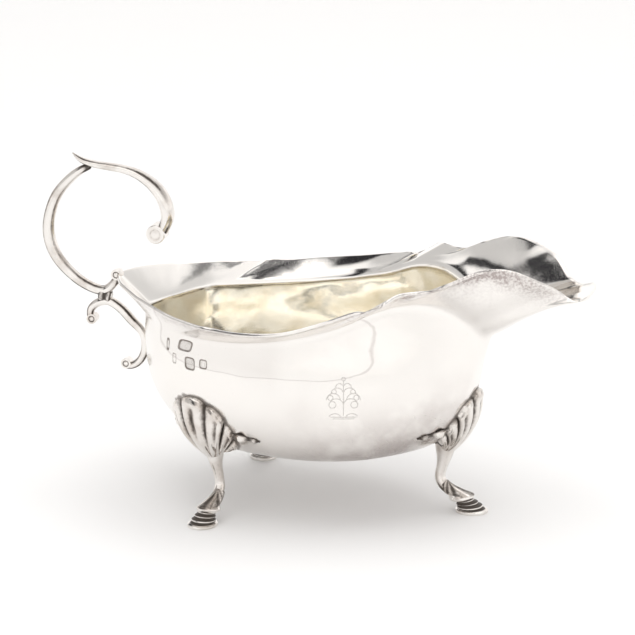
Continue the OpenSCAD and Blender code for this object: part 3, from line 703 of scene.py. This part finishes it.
def fluted_shell(name, leg):
    """The outer face follows the flutes and the back lies just inside the sheet of the bowl."""
    s0, v0, half_s, half_v = shell_place(leg)
    knee_z = leg["knee"]
    heel = height_at(s0, knee_z + 2.5)
    away = unit(on_leg(leg, 1, 0, 0) - on_leg(leg, 0, 0, 0))
    aside = unit(on_leg(leg, 0, 1, 0) - on_leg(leg, 0, 0, 0))
    front, back, groove = [], [], []
    for i in range(fan_n + 1):
        u = i / fan_n
        angle = math.radians(-46 + 272 * u)
        phase = flutes * (u + .3 * math.sin(2 * math.pi * u) / (2 * math.pi))
        share = phase - math.floor(phase)
        lobe = abs(math.sin(math.pi * phase)) ** .6
        swell = .925 + .105 * lobe
        c, n = math.cos(angle), math.sin(angle)
        far = (s0 + half_s * swell * c, v0 + half_v * swell * n)
        near = (s0 + half_s * .2 * c, heel + half_v * .12 * n)
        top = bowl_at(*far) + (.45 + .95 * lobe) * bowl_face(*far)
        hinge = on_leg(leg, -8.4 + 2.8 * n, 3 * c, knee_z - .6 * n)
        tilt = unit(away + .5 * c * aside)
        crown = (hinge + top) / 2 + (2.4 + 2.3 * (1 + n)) * tilt
        line = math.exp(-((share - .5) / .15) ** 2)
        for j in range(reach_n + 1):
            t = j / reach_n
            open_up = math.sin(math.pi * t**.7)
            fade = min(1, t * 3.5)
            hollow = line * soft_step(t - .34, .4) * soft_step(.86 - t, .14)
            push = (1.9 * (lobe - 1) * (.25 + .75 * t) * open_up - 1.0 * hollow
                    + .3 * math.exp(-((t - .92) / .06) ** 2) * lobe * fade)
            place = hinge * (1 - t)**2 + crown * 2 * t * (1 - t) + top * t * t + push * tilt
            front.append(place)
            q = bowl_at(near[0] + (far[0] - near[0]) * t, near[1] + (far[1] - near[1]) * t)
            back.append(q - solder * unit(q - np.array([0, 0, rim_z])))
            crust = .6 * bell(t, .97, .07) * (.7 + .6 * noise.noise(Vector((u * 40, t * 9, 1))))
            groove.append(max((1 - lobe) ** .9 * min(1, .35 + t * 1.2) * .92, .68 * hollow, crust))
    n_back = len(front)
    wide, tall = fan_n + 1, reach_n + 1
    faces = grid_faces(wide, tall) + grid_faces(wide, tall, n_back)
    for a, b in ((0, 1), (tall - 1, tall - 2)):
        faces += [[i * tall + a, (i + 1) * tall + a, n_back + (i + 1) * tall + a, n_back + i * tall + a]
                  for i in range(fan_n)]
    for i in (0, fan_n):
        faces += [[i * tall + j, i * tall + j + 1, n_back + i * tall + j + 1, n_back + i * tall + j]
                  for j in range(reach_n)]
    return mesh_piece(name, front + back, faces, {"groove": groove + [.62] * n_back}, smooth_angle=50)


right_shell = fluted_shell("right_shell", rear_leg)
front_shell = fluted_shell("front_shell", front_leg)
print("a shell has", len(right_shell.data.polygons), "faces")

# %% [markdown]
# The shank narrows from the knee to the ankle and bends back like an animal's leg. A filed ridge runs
# down its front. It is the same kind of bar as the scrolls, with its rings in the plane of the leg.

# %% A shank
shank_sides = 32


def shank(name, leg):
    """Rows are [out, up, depth, width] in the terms of the leg."""
    knee_z = leg["knee"]
    rows = [[-8.6, knee_z + 3.2, 5.4, 8.2], [-9, knee_z + .8, 6.2, 6.8], [-9.2, knee_z - 2.5, 4.7, 4.4],
            [-9.8, knee_z - 5.6, 3.4, 3.4], [-10.5, 12, 3.1, 3.1], [-10.3, 9.9, 3.3, 3.4],
            [-9, 7.8, 3.2, 3.6], [-7, 6.4, 2.4, 3.8]]
    r = smooth_rows(rows, 110)
    path = on_leg(leg, r[:, 0], 0, r[:, 1])
    side = unit(on_leg(leg, 0, 1, 0) - on_leg(leg, 0, 0, 0))

    def ridge(angle):
        turn = (angle + math.pi) % (2 * math.pi) - math.pi
        return 1 + .13 * bell(turn, 0, .3) + .06 * bell(np.abs(turn), math.pi, .4)

    low = np.clip((12 - path[:, 2]) / 5, 0, 1)
    angle = np.arange(shank_sides) * 2 * np.pi / shank_sides
    # Painted reflection: dark lines along both flanks of the shank, as on the scrolls.
    painted_edge_reflection = bell(np.cos(angle), .55, .25) * .35 + bell(np.cos(angle), -.5, .3) * .3
    groove = painted_edge_reflection[None] + (.75 * low**1.5)[:, None] * (.6 + .4 * np.cos(3 * angle))[None]
    return bar(name, path, r[:, 2], r[:, 3], side, ridge, shank_sides, {"groove": groove})


right_shank = shank("right_shank", rear_leg)
front_shank = shank("front_shank", front_leg)
print("a shank has", len(right_shank.data.polygons), "faces")

# %% [markdown]
# The hoof is built from the ground up with the plainest of tools: one oval face for the sole, then
# extrude, move, scale and turn, ring after ring. Two recessed steps tilt more and more towards the toe,
# a flared top with a thin edge follows, and the last rings run up into the ankle.

# %% The hoof
hoof_rings = [  # middle out, height, half length, half width, slope in degrees
    [0, .12, 5.3, 4.6, 0], [0, .8, 5.3, 4.6, 0], [-.1, .98, 5.05, 4.35, 0], [-.45, 1.1, 4.3, 3.75, 2],
    [-.55, 1.3, 4.1, 3.6, 3], [-.65, 1.75, 4.25, 3.75, 5], [-.75, 2.05, 4.1, 3.65, 6],
    [-1.1, 2.3, 3.45, 3.2, 7], [-1.3, 2.55, 3.35, 3.1, 8], [-1.5, 2.85, 3.55, 3.3, 9],
    [-1.65, 3.05, 3.4, 3.2, 9], [-1.95, 3.3, 2.85, 2.8, 10], [-2.3, 3.75, 2.95, 2.85, 11],
    [-3, 4.25, 3.9, 3.5, 12], [-3.2, 4.55, 4.15, 3.7, 12], [-3.35, 4.95, 4.1, 3.65, 13],
    [-3.9, 5.35, 3.55, 3.2, 15], [-4.8, 5.85, 2.95, 2.7, 18], [-6.2, 6.45, 2.5, 2.4, 24],
    [-7.6, 7.2, 2.1, 2.1, 30], [-8.6, 8.1, 1.85, 1.9, 35], [-9.3, 9, 1.6, 1.75, 38]]
sole = [0, 0, 5.1, 4.4, 0]
nothing_selected()
bpy.ops.mesh.primitive_circle_add(vertices=36, radius=1 * mm, fill_type="NGON", location=(0, 0, 0))
hoof = bpy.context.object
hoof.name = "hoof"
bpy.ops.object.mode_set(mode="EDIT")
bpy.ops.transform.resize(value=(sole[2], sole[3], 1), center_override=(0, 0, 0))
at = sole
for ring in hoof_rings:
    pivot = Vector((at[0] * mm, 0, at[1] * mm))
    bpy.ops.mesh.extrude_region_move(TRANSFORM_OT_translate={"value": (0, 0, 0)})
    if at[4]:
        bpy.ops.transform.rotate(value=math.radians(-at[4]), orient_axis="Y", center_override=pivot)
    bpy.ops.transform.resize(value=(ring[2] / at[2], ring[3] / at[3], 1), center_override=pivot)
    if ring[4]:
        bpy.ops.transform.rotate(value=math.radians(ring[4]), orient_axis="Y", center_override=pivot)
    bpy.ops.transform.translate(value=((ring[0] - at[0]) * mm, 0, (ring[1] - at[1]) * mm))
    at = ring
bpy.ops.object.mode_set(mode="OBJECT")
print("hoof:", len(hoof_rings), "rings,", round(places_of(hoof)[2].max(), 1), "mm high")

# %% Softening the hoof and standing one under each leg
def copy_of(obj, name):
    """A copy with its own mesh."""
    copy = obj.copy()
    copy.data = obj.data.copy()
    copy.name = name
    bpy.context.scene.collection.objects.link(copy)
    return copy


def hoof_under(name, leg):
    """A hoof, turned and moved under a leg."""
    return faces_out(turned_about(copy_of(hoof, name), (leg["x"], leg["y"], 0), (0, 0, leg["turn"])), 40)


x, y, z = places_of(rounded(hoof, 1, .09, 25))
level = z - x * .16 * np.clip((z - 1.2) / 1.5, 0, 1)  # the steps lie aslant, so their dirt does too
between_steps = soft_step(level - 1.12, .2) * soft_step(4.05 - level, .3)
bright_edges = .85 * bell(level, 1.82, .16) + .85 * bell(level, 2.95, .16)
in_flutes = .75 + .25 * np.cos(np.arctan2(y, x + 8) * 9)
above_flare = .72 * soft_step(z - 5.5, .5) * in_flutes
carry(hoof.data, "groove", np.maximum(between_steps * (1 - bright_edges), above_flare))
right_hoof, front_hoof = hoof_under("right_hoof", rear_leg), hoof_under("front_hoof", front_leg)
bpy.data.objects.remove(hoof)
print("a hoof has", len(right_hoof.data.polygons), "faces")

# %% [markdown]
# Beside every shell a leaf bud points along the belly. It swells from a narrow neck to a full middle
# and narrows again to a small tip, as a chased bud does. Its rings follow the surface of the bowl,
# half sunk into it.

# %% A bud beside the shell
def bud(name, leg, side):
    """side is -1 towards the handle and 1 towards the spout."""
    s0, v0, half_s, half_v = shell_place(leg)
    per_mm = half_s / (shell_w / 2)
    start = s0 + side * half_s * .96
    angle = np.arange(20) * 2 * math.pi / 20
    veins = 1 + .07 * np.cos(angle * 6)
    rings, marks = [], []
    for t in np.linspace(0, 1, 44):
        s, v = start + side * 9 * t * per_mm, v0 - half_v * (.06 + .14 * t)
        face = bowl_face(s, v)
        way = unit(bowl_at(s + .2 * side, v) - bowl_at(s - .2 * side, v))
        swell = .55 * bell(t, 0, .1) + 1.0 * bell(t, .36, .17) + .42 * bell(t, .8, .12)
        swell *= min(1, (1 - t) * 7)
        joint = min(1, swell * 1.4)
        fat, deep = .3 * min(1, (1 - t) * 9) + 1.25 * swell, .35 + .8 * swell
        rings.append(bowl_at(s, v) + (deep - solder) * face + veins[:, None] * (
            np.cos(angle)[:, None] * deep * face + np.sin(angle)[:, None] * fat * np.cross(way, face)))
        # Painted shade: the side of the bud towards the bowl is darkened. The narrow necks and the tip
        # are darker too.
        low = np.clip(.35 - np.cos(angle), 0, 1) * .8
        marks.append(.2 + np.maximum(low, (1 - joint) * .7))
    return ringed(name, np.array(rings), {"groove": np.array(marks)})


right_buds = bud("right_rear_bud", rear_leg, -1), bud("right_front_bud", rear_leg, 1)
front_buds = bud("front_right_bud", front_leg, -1), bud("front_left_bud", front_leg, 1)
print("a bud has", len(right_buds[0].data.polygons), "faces")

# %% [markdown]
# The left rear leg is the right one seen in a mirror. Scaling by -1 across the middle plane makes it,
# and because that turns every face inside out, the faces are turned outwards again afterwards.

# %% The left rear leg
def mirrored(obj, name):
    """A copy on the left side, with its faces outwards."""
    copy = pick(copy_of(obj, name))
    bpy.ops.transform.resize(value=(1, -1, 1), center_override=(0, 0, 0))
    bpy.ops.object.transform_apply(location=True, rotation=True, scale=True)
    return faces_out(copy, 50)


left_shell = mirrored(right_shell, "left_shell")
left_shank = mirrored(right_shank, "left_shank")
left_hoof = mirrored(right_hoof, "left_hoof")
left_buds = mirrored(right_buds[0], "left_rear_bud"), mirrored(right_buds[1], "left_front_bud")
print("left leg from", round(places_of(left_hoof)[1].min(), 1), "mm aside")

# %% [markdown]
# ## The finishes
# Every finish here is a small network of nodes. Writing such networks node by node hides what they
# mean, so one small class lets a node's output be used in sums and products like a number, and one
# method adds any other node. All patterns are read from the object's own coordinates, in metres.

# %% Wires and nodes
class Wire:
    """An output of a node. Sums, differences, products and so on of wires add Math nodes."""

    def __init__(self, finish, socket):
        self.finish, self.socket = finish, socket

    def math(self, operation, a, b=0.0):
        return self.finish.node("ShaderNodeMath", {"operation": operation}, {0: a, 1: b})

    def __add__(self, other):
        return self.math("ADD", self, other)

    def __sub__(self, other):
        return self.math("SUBTRACT", self, other)

    def __rsub__(self, other):
        return self.math("SUBTRACT", other, self)

    def __mul__(self, other):
        return self.math("MULTIPLY", self, other)

    def __truediv__(self, other):
        return self.math("DIVIDE", self, other)

    def __abs__(self):
        return self.math("ABSOLUTE", self)

    __radd__, __rmul__ = __add__, __mul__

    def root(self):
        return self.math("SQRT", self)

    def at_most(self, limit):
        return self.math("MINIMUM", self, limit)

    def at_least(self, limit):
        return self.math("MAXIMUM", self, limit)

    def between(self, low, high):
        """0 below low, 1 above high, smooth between them; turned round when high is the lower."""
        ends = {"Value": self, "From Min": min(low, high), "From Max": max(low, high)}
        if high < low:
            ends.update({"To Min": 1.0, "To Max": 0.0})
        return self.finish.node("ShaderNodeMapRange", {"interpolation_type": "SMOOTHSTEP"}, ends)


class Finish:
    """A network of nodes for one finish, or for the light of the room."""

    def __init__(self, tree):
        self.tree = tree
        self.tree.nodes.clear()

    def node(self, kind, settings=None, inputs=None, output=0):
        """Adds a node of a kind, with its settings first and then the values or wires of its inputs."""
        node = self.tree.nodes.new(kind)
        for key, value in (settings or {}).items():
            setattr(node, key, value)
        for key, value in (inputs or {}).items():
            if isinstance(value, Wire):
                self.tree.links.new(value.socket, node.inputs[key])
            else:
                node.inputs[key].default_value = value
        return Wire(self, node.outputs[output])

    def output(self, kind, shader):
        """Joins a shader to the last node of the network."""
        self.tree.links.new(shader.socket, self.tree.nodes.new(kind).inputs["Surface"])

    def where(self):
        """The place on the object, in metres."""
        return self.node("ShaderNodeTexCoord", output="Object")

    def toward(self, places, direction):
        """How far a place or a view lies along a direction."""
        settings, inputs = {"operation": "DOT_PRODUCT"}, {0: places, 1: direction}
        return self.node("ShaderNodeVectorMath", settings, inputs, output="Value")

    def noise(self, size_mm, detail=3.0, at=None):
        """Soft noise whose lumps are about size_mm across, from 0 to 1."""
        inputs = {"Vector": at or self.where(), "Scale": 1000 / size_mm, "Detail": detail}
        return self.node("ShaderNodeTexNoise", None, inputs)

    def mark(self, name):
        """A value that the mesh carries at each place."""
        return self.node("ShaderNodeAttribute", {"attribute_name": name}, output="Fac")

    def blend(self, share, a, b):
        """A colour between a and b."""
        a, b = (v if isinstance(v, Wire) else (*v, 1) for v in (a, b))
        return self.node("ShaderNodeMix", {"data_type": "RGBA"}, {0: share, 6: a, 7: b}, output=2)

    def bump(self, height, depth_mm, below=None):
        """Turns a height from 0 to 1 into a change of the surface's direction."""
        inputs = {"Height": height, "Distance": depth_mm * mm, "Strength": 1.0}
        if below:
            inputs["Normal"] = below
        return self.node("ShaderNodeBump", None, inputs)


def metal(name, build):
    """A metal whose colour, roughness, metalness and bump come from build(finish)."""
    material = bpy.data.materials.new(name)
    material.use_nodes = True
    finish = Finish(material.node_tree)
    colour, roughness, metalness, normal = build(finish)
    shader = finish.node("ShaderNodeBsdfPrincipled", None, {
        "Base Color": colour, "Roughness": roughness, "Metallic": metalness, "Normal": normal})
    finish.output("ShaderNodeOutputMaterial", shader)
    return material


print("node helpers ready")

# %% [markdown]
# Old silver is never one even mirror. Handling leaves hair-fine scratches in all directions, cleaning
# wears a softer bloom over broad places, and a thin tarnish gathers in patches, warm grey to violet.
# Inside, below the crease, the sheet was once washed with gold, which has faded to a pale straw
# colour and is worn through on the high places.

# %% The colours and the scratches
# The tarnish colour also paints the shade low on the bowl's belly and on the underside of its flare.
bright, tarnish_and_shade, dull_film_and_shade = (.93, .905, .875), (.37, .31, .3), (.5, .43, .375)
pale_gold, deep_gold = (.95, .925, .855), (.89, .835, .72)
# This dark oxide colour, and the dull film colour above, also paint the dark flank lines of the bars and
# the shade on the buds.
brown_dirt, dark_oxide_and_shade = (.15, .12, .1), (.036, .026, .019)


def scratches(finish):
    """Hair-fine scratches in three directions: noise stretched long, from 0 to 1."""
    at, lines = finish.where(), []
    for turn in ((.3, .2, .4), (1.2, .5, 2.0), (.1, 2.1, 1.1)):
        settings = {"Vector": at, "Rotation": turn, "Scale": (1, .035, 1)}
        stretched = finish.node("ShaderNodeMapping", None, settings)
        lines.append(finish.noise(.35, 2, stretched).between(.56, .7))
    return lines[0] + lines[1] + lines[2]


print("scratches run in 3 directions")

# %% [markdown]
# A small leafy sprig is engraved on the right side. It is drawn as an engraver would draw it, with
# arcs of a circle and short straight strokes, and it is the same on both sides of its stem, so every
# cut is measured from the stem. A cut is dark and a little sunk.

# %% The engraved sprig
sprig_arcs = [  # how far from the stem, height, radius, and the heights between which it is cut
    [2.2, -1.6, 2.2, -1.6, .9], [3.1, .2, 2.1, .2, 2.4], [1.9, 2.2, 1.9, 2.2, 4.2],
    [1.2, 4.3, 1.2, 4.3, 5.8], [3.4, -1.4, 1.1, -2.6, -.2], [4, .9, .8, .1, 1.8],
    [2.9, 2.9, .7, 2.2, 3.7], [0, 6.9, .55, 6.2, 7.6], [2.6, -6.6, 2.2, -5.2, -4.2]]


def engraved_sprig(finish):
    """1 in the cuts of the sprig and of the bar under it, 0 elsewhere."""
    at = finish.where()
    beside = abs(finish.toward(at, (.957, .29, 0)) * 1000.0 - 8.4)
    height = finish.toward(at, (0, 0, 1)) * 1000.0 - 45.6

    def cut(gap, width, low, high, fade):
        """A line where the gap is small, kept between two heights."""
        kept = height.between(low - fade, low) * height.between(high + fade, high)
        return gap.between(width, width * .3) * kept

    cuts = cut(beside, .15, -5, 6.6, .2)
    for middle, up, radius, low, high in sprig_arcs:
        dx, dz = beside - middle, height - up
        off_arc = abs((dx * dx + dz * dz).root() - radius)
        cuts = cuts.at_least(cut(off_arc, .13, low, high, .3))
    for up, low, high, length in ((-5.6, -6, -5, 3.9), (-6.2, -7, -6, 3.2)):
        bar_line = cut(abs(height - up), .14, low, high, .2) * beside.between(length + .3, length)
        cuts = cuts.at_least(bar_line)
    on_right = (finish.toward(at, (0, 1, 0)) * 1000.0).between(-28, -30)
    return cuts * on_right * finish.mark("inner").between(.3, .1)


print("arcs in the sprig:", len(sprig_arcs))

# %% [markdown]
# The finish of the sheet starts from bright silver, lays the thin tarnish (with painted shade low on the
# belly and under the flare), the gold and the dirt over it as colours, and makes the metal rougher
# wherever they lie. Polish that dried on the right side left one broad outline, so an oval with an
# uneven edge is drawn there. Three bumps follow: slow
# swells from the hammer, a fine grain, and the scratches.

# %% Raised silver
def raised_silver(finish):
    gilt, inner, shoulder, punched = (finish.mark(m) for m in ("gilt", "inner", "veil_and_shade", "punched"))
    broad, fine, hair = finish.noise(26, 3), finish.noise(2.2, 4), scratches(finish)
    cloud = finish.noise(9, 5)
    margin = (finish.mark("margin") + (fine - .5) * .9 + (cloud - .5) * .8).between(.3, .95)
    x, y, z = (finish.toward(finish.where(), way) for way in ((1, 0, 0), (0, 1, 0), (0, 0, 1)))
    across, above = (x * 1000 + 8) / 36, (z * 1000 - 62) / 10.5
    across, above = across * across, above * above
    stain = across * across + above * above + (finish.noise(15, 3) - .5) * .9
    right_side = y.between(-.02, -.024) * (1 - inner)
    dried_edge = abs(stain - 1).between(.09, .01) * right_side
    cool_part = stain.between(1.02, .98) * x.between(.004, -.004) * right_side
    cuts = engraved_sprig(finish)
    mottle = 1 - z.between(.048, .056) * .65 * finish.noise(.9, 6).between(.64, .4)
    # The tarnish mark also carries painted shade low on the belly and under the flare near the spout.
    veil_and_shade = shoulder * (.25 + cloud.between(.3, .6) * .75) * mottle + broad.between(.5, .75) * .1
    veil_and_shade = (veil_and_shade + dried_edge * .3 + cool_part * .07).at_most(.85)
    silver = finish.blend(veil_and_shade, bright, tarnish_and_shade)
    worn_gold = finish.blend(cloud.between(.4, .66), pale_gold, deep_gold)
    gold_share = gilt * (1 - cloud.between(.58, .75) * .45)
    colour = finish.blend(gold_share, silver, worn_gold)
    sunk = punched.between(.25, .95)
    dirt = (cuts * .4 + sunk * (fine.between(.3, .7) * .3 + .8) + margin * .8).at_most(1.0)
    colour = finish.blend(dirt * .9, colour, brown_dirt)
    bloom = (1 - inner) * .1
    roughness = .07 + bloom + fine * .05 + hair * .05 + veil_and_shade * .1 + dirt * .2
    normal = None
    for height, depth in ((finish.noise(11, 2), .16), (fine, .006), (hair, .0018), (1 - cuts, .08)):
        normal = finish.bump(height, depth, normal)
    return colour, roughness, 1 - dirt * .3, normal


sheet_metal = metal("raised silver with worn gilding", raised_silver)
print("raised silver:", len(sheet_metal.node_tree.nodes), "nodes")

# %% [markdown]
# The cast pieces are the same silver, but their hollows are dark: polish never reaches the grooves,
# and the sulphide left there is what makes the flutes readable. The mesh carries how deep each place
# lies, so the dark can follow it, broken up by noise where a cloth has brushed past. The same mark also
# carries painted reflection, dark lines along the flanks of the scrolls and shanks, and painted shade
# on the side of each bud towards the bowl.

# %% Cast silver with dark hollows and painted shade
def cast_silver(finish):
    groove = finish.mark("groove")
    broad, fine, hair = finish.noise(7, 3), finish.noise(.9, 4), scratches(finish)
    # The groove mark also carries the painted flank reflections and the painted bud shade, so the oxide
    # and the film take them too.
    oxide_and_shade = (groove + (fine - .5) * .45 + (broad - .5) * .3).between(.32, .8)
    film_and_shade = groove * .55 + broad.between(.4, .7) * .42 + .08
    silver = finish.blend(film_and_shade.at_most(1.0), bright, dull_film_and_shade)
    colour = finish.blend(oxide_and_shade * .95, silver, dark_oxide_and_shade)
    roughness = .1 + fine * .07 + hair * .05 + oxide_and_shade * .34
    normal = None
    for height, depth in ((finish.noise(3.2, 3), .05), (fine, .012), (hair, .0015)):
        normal = finish.bump(height, depth, normal)
    return colour, roughness, 1 - oxide_and_shade * .55, normal


cast_metal = metal("cast silver with dark hollows and painted shade", cast_silver)
print("cast silver:", len(cast_metal.node_tree.nodes), "nodes")

# %% [markdown]
# ## Putting the pieces in place of the solid ones
# Each new piece takes over from the solid piece of the same name, gets one of the two finishes and
# rides on the one body of the boat, since nothing on it moves.

# %% Which piece stands for which solid
stands_for = {
    "bowl": bowl, "handle_rear_scroll": rear_scroll, "handle_top_scroll": top_scroll,
    "handle_top_volute": top_volute, "handle_lower_scroll": lower_scroll, "handle_upper_bead": upper_bead,
    "handle_lower_bead": lower_bead, "handle_collar": collar, "handle_rim_knob": rim_knob,
    "right_leg_shell": right_shell, "right_leg_shank": right_shank, "right_leg_foot": right_hoof,
    "right_leg_rear_bud": right_buds[0], "right_leg_front_bud": right_buds[1],
    "left_leg_shell": left_shell, "left_leg_shank": left_shank, "left_leg_foot": left_hoof,
    "left_leg_rear_bud": left_buds[0], "left_leg_front_bud": left_buds[1],
    "front_leg_shell": front_shell, "front_leg_shank": front_shank, "front_leg_foot": front_hoof,
    "front_leg_right_bud": front_buds[0], "front_leg_left_bud": front_buds[1]}
for node, obj in stands_for.items():
    obj.data.materials.clear()
    obj.data.materials.append(sheet_metal if node == "bowl" else cast_metal)
    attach(obj, "root")
    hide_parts(node)
    "raised_silver" if node == "bowl" else "cast_silver"
triangles = sum(len(p.vertices) - 2 for o in stands_for.values() for p in o.data.polygons)
print("pieces:", len(stands_for), "triangles:", triangles)

# %% [markdown]
# ## The studio
# Silver shows its room more than itself. A white floor and a white room make it bright, and a few dark
# parts of the room draw the crisp dark lines that tell the eye it is metal. The room is the world's
# light, painted by direction, and one broad lamp overhead lays a soft shadow on the floor. The silver
# doesn't reflect the lamp itself, because its bright square would cover the dark beam above the boat.

# %% The floor
nothing_selected()
bpy.ops.mesh.primitive_circle_add(vertices=96, radius=6, fill_type="NGON")
floor = bpy.context.object
floor.name = "studio_floor"
paper = bpy.data.materials.new("white paper")
paper.use_nodes = True
paper_finish = Finish(paper.node_tree)
paper_shader = paper_finish.node("ShaderNodeBsdfPrincipled", None, {
    "Base Color": paper_finish.blend(paper_finish.noise(40, 2) * .2, (.93, .93, .93), (.9, .9, .9)),
    "Roughness": .9, "Specular IOR Level": .1})
paper_finish.output("ShaderNodeOutputMaterial", paper_shader)
floor.data.materials.append(paper)
print("floor of radius 6 m")

# %% Light painted by direction
world = bpy.data.worlds.new("studio")
bpy.context.scene.world = world
world.use_nodes = True
room = Finish(world.node_tree)
look = room.node("ShaderNodeTexCoord", output="Generated")


def towards(direction):
    """How far a direction of view agrees with a given one, from -1 to 1."""
    return room.toward(look, Vector(direction).normalized())


def band(low, high, edge=.03):
    """1 between two heights of view, given as the sine of the elevation."""
    up = towards((0, 0, 1))
    return up.between(low - edge, low + edge) * up.between(high + edge, high - edge)


def streak(start, end, half_width, reach):
    """1 along the great circle between two directions, near their middle."""
    start, end = Vector(start).normalized(), Vector(end).normalized()
    beside, middle = abs(towards(start.cross(end))), towards(start + end)
    return beside.between(half_width * 1.3, half_width * .7) * middle.between(reach - .03, reach + .03)


def from_angles(turn, up):
    """The direction at a turn from the front (-Y) towards the spout (+X), and at a height, in degrees."""
    turn, up = math.radians(turn), math.radians(up)
    return math.sin(turn) * math.cos(up), -math.cos(turn) * math.cos(up), math.sin(up)


print("the front is", np.round(from_angles(0, 0), 2))

# %% The dark parts of the room
white_room, dark_room = (1, .985, .97), (.012, .012, .015)
overhead_beam = streak(from_angles(-147, 24), from_angles(36, 62), .08, .64)
dark_door = streak(from_angles(-153, 26), from_angles(-141, 44), .12, .975)
side_rail = streak(from_angles(-92, 49), from_angles(-32, 20), .1, .86)
low_panel = streak(from_angles(92, 38), from_angles(38, 68), .065, .93)
far_wall = band(.12, .68, .08) * towards(from_angles(-85, 30)).between(.5, .68) * .4
far_right = band(.28, .66, .1) * towards(from_angles(115, 36)).between(.7, .9) * .3
dark_parts = overhead_beam * .9 + dark_door * .95 + side_rail + low_panel * .8
shade = dark_parts.at_least(far_wall + far_right).at_most(.985)
brightness = 1.05 + band(.84, 2, .06) * .45 + band(-1, .35, .1) * .1
room.output("ShaderNodeOutputWorld", room.node("ShaderNodeBackground", None, {
    "Color": room.blend(shade, white_room, dark_room), "Strength": brightness}))
print("the room has", len(world.node_tree.nodes), "nodes")

# %% The lamp
lamp_data = bpy.data.lights.new("overhead softbox", "AREA")
lamp_data.shape, lamp_data.size, lamp_data.size_y, lamp_data.energy = "RECTANGLE", 1.1, .8, 4
lamp = bpy.data.objects.new("overhead softbox", lamp_data)
bpy.context.scene.collection.objects.link(lamp)
lamp.location = (.1, -.05, 1.2)
lamp.rotation_euler = (Vector((0, 0, .05)) - lamp.location).to_track_quat("-Z", "Y").to_euler()
lamp.visible_glossy = False
print("lamp at", [round(v, 2) for v in lamp.location])

# %% [markdown]
# The camera stands well back with a long lens, a little above the rim and turned towards the spout, so
# the eye sees the right side, the open bowl and the underside of the lip at once.

# %% The camera
back, distance = Vector(from_angles(15.206, 16.5)), 1.1126
camera_data = bpy.data.cameras.new("camera")
camera_data.lens, camera_data.sensor_width = 198.4252, 36
camera_data.clip_start, camera_data.clip_end = .05, 30
camera = bpy.data.objects.new("camera", camera_data)
bpy.context.scene.collection.objects.link(camera)
camera.location = Vector((.00162, 0, .06055)) + back * distance
camera.rotation_euler = back.to_track_quat("Z", "Y").to_euler()
bpy.context.scene.camera = camera
bpy.context.scene.view_settings.view_transform = "Standard"
print("camera", [round(v, 3) for v in camera.location], "lens", round(camera_data.lens, 1), "mm")
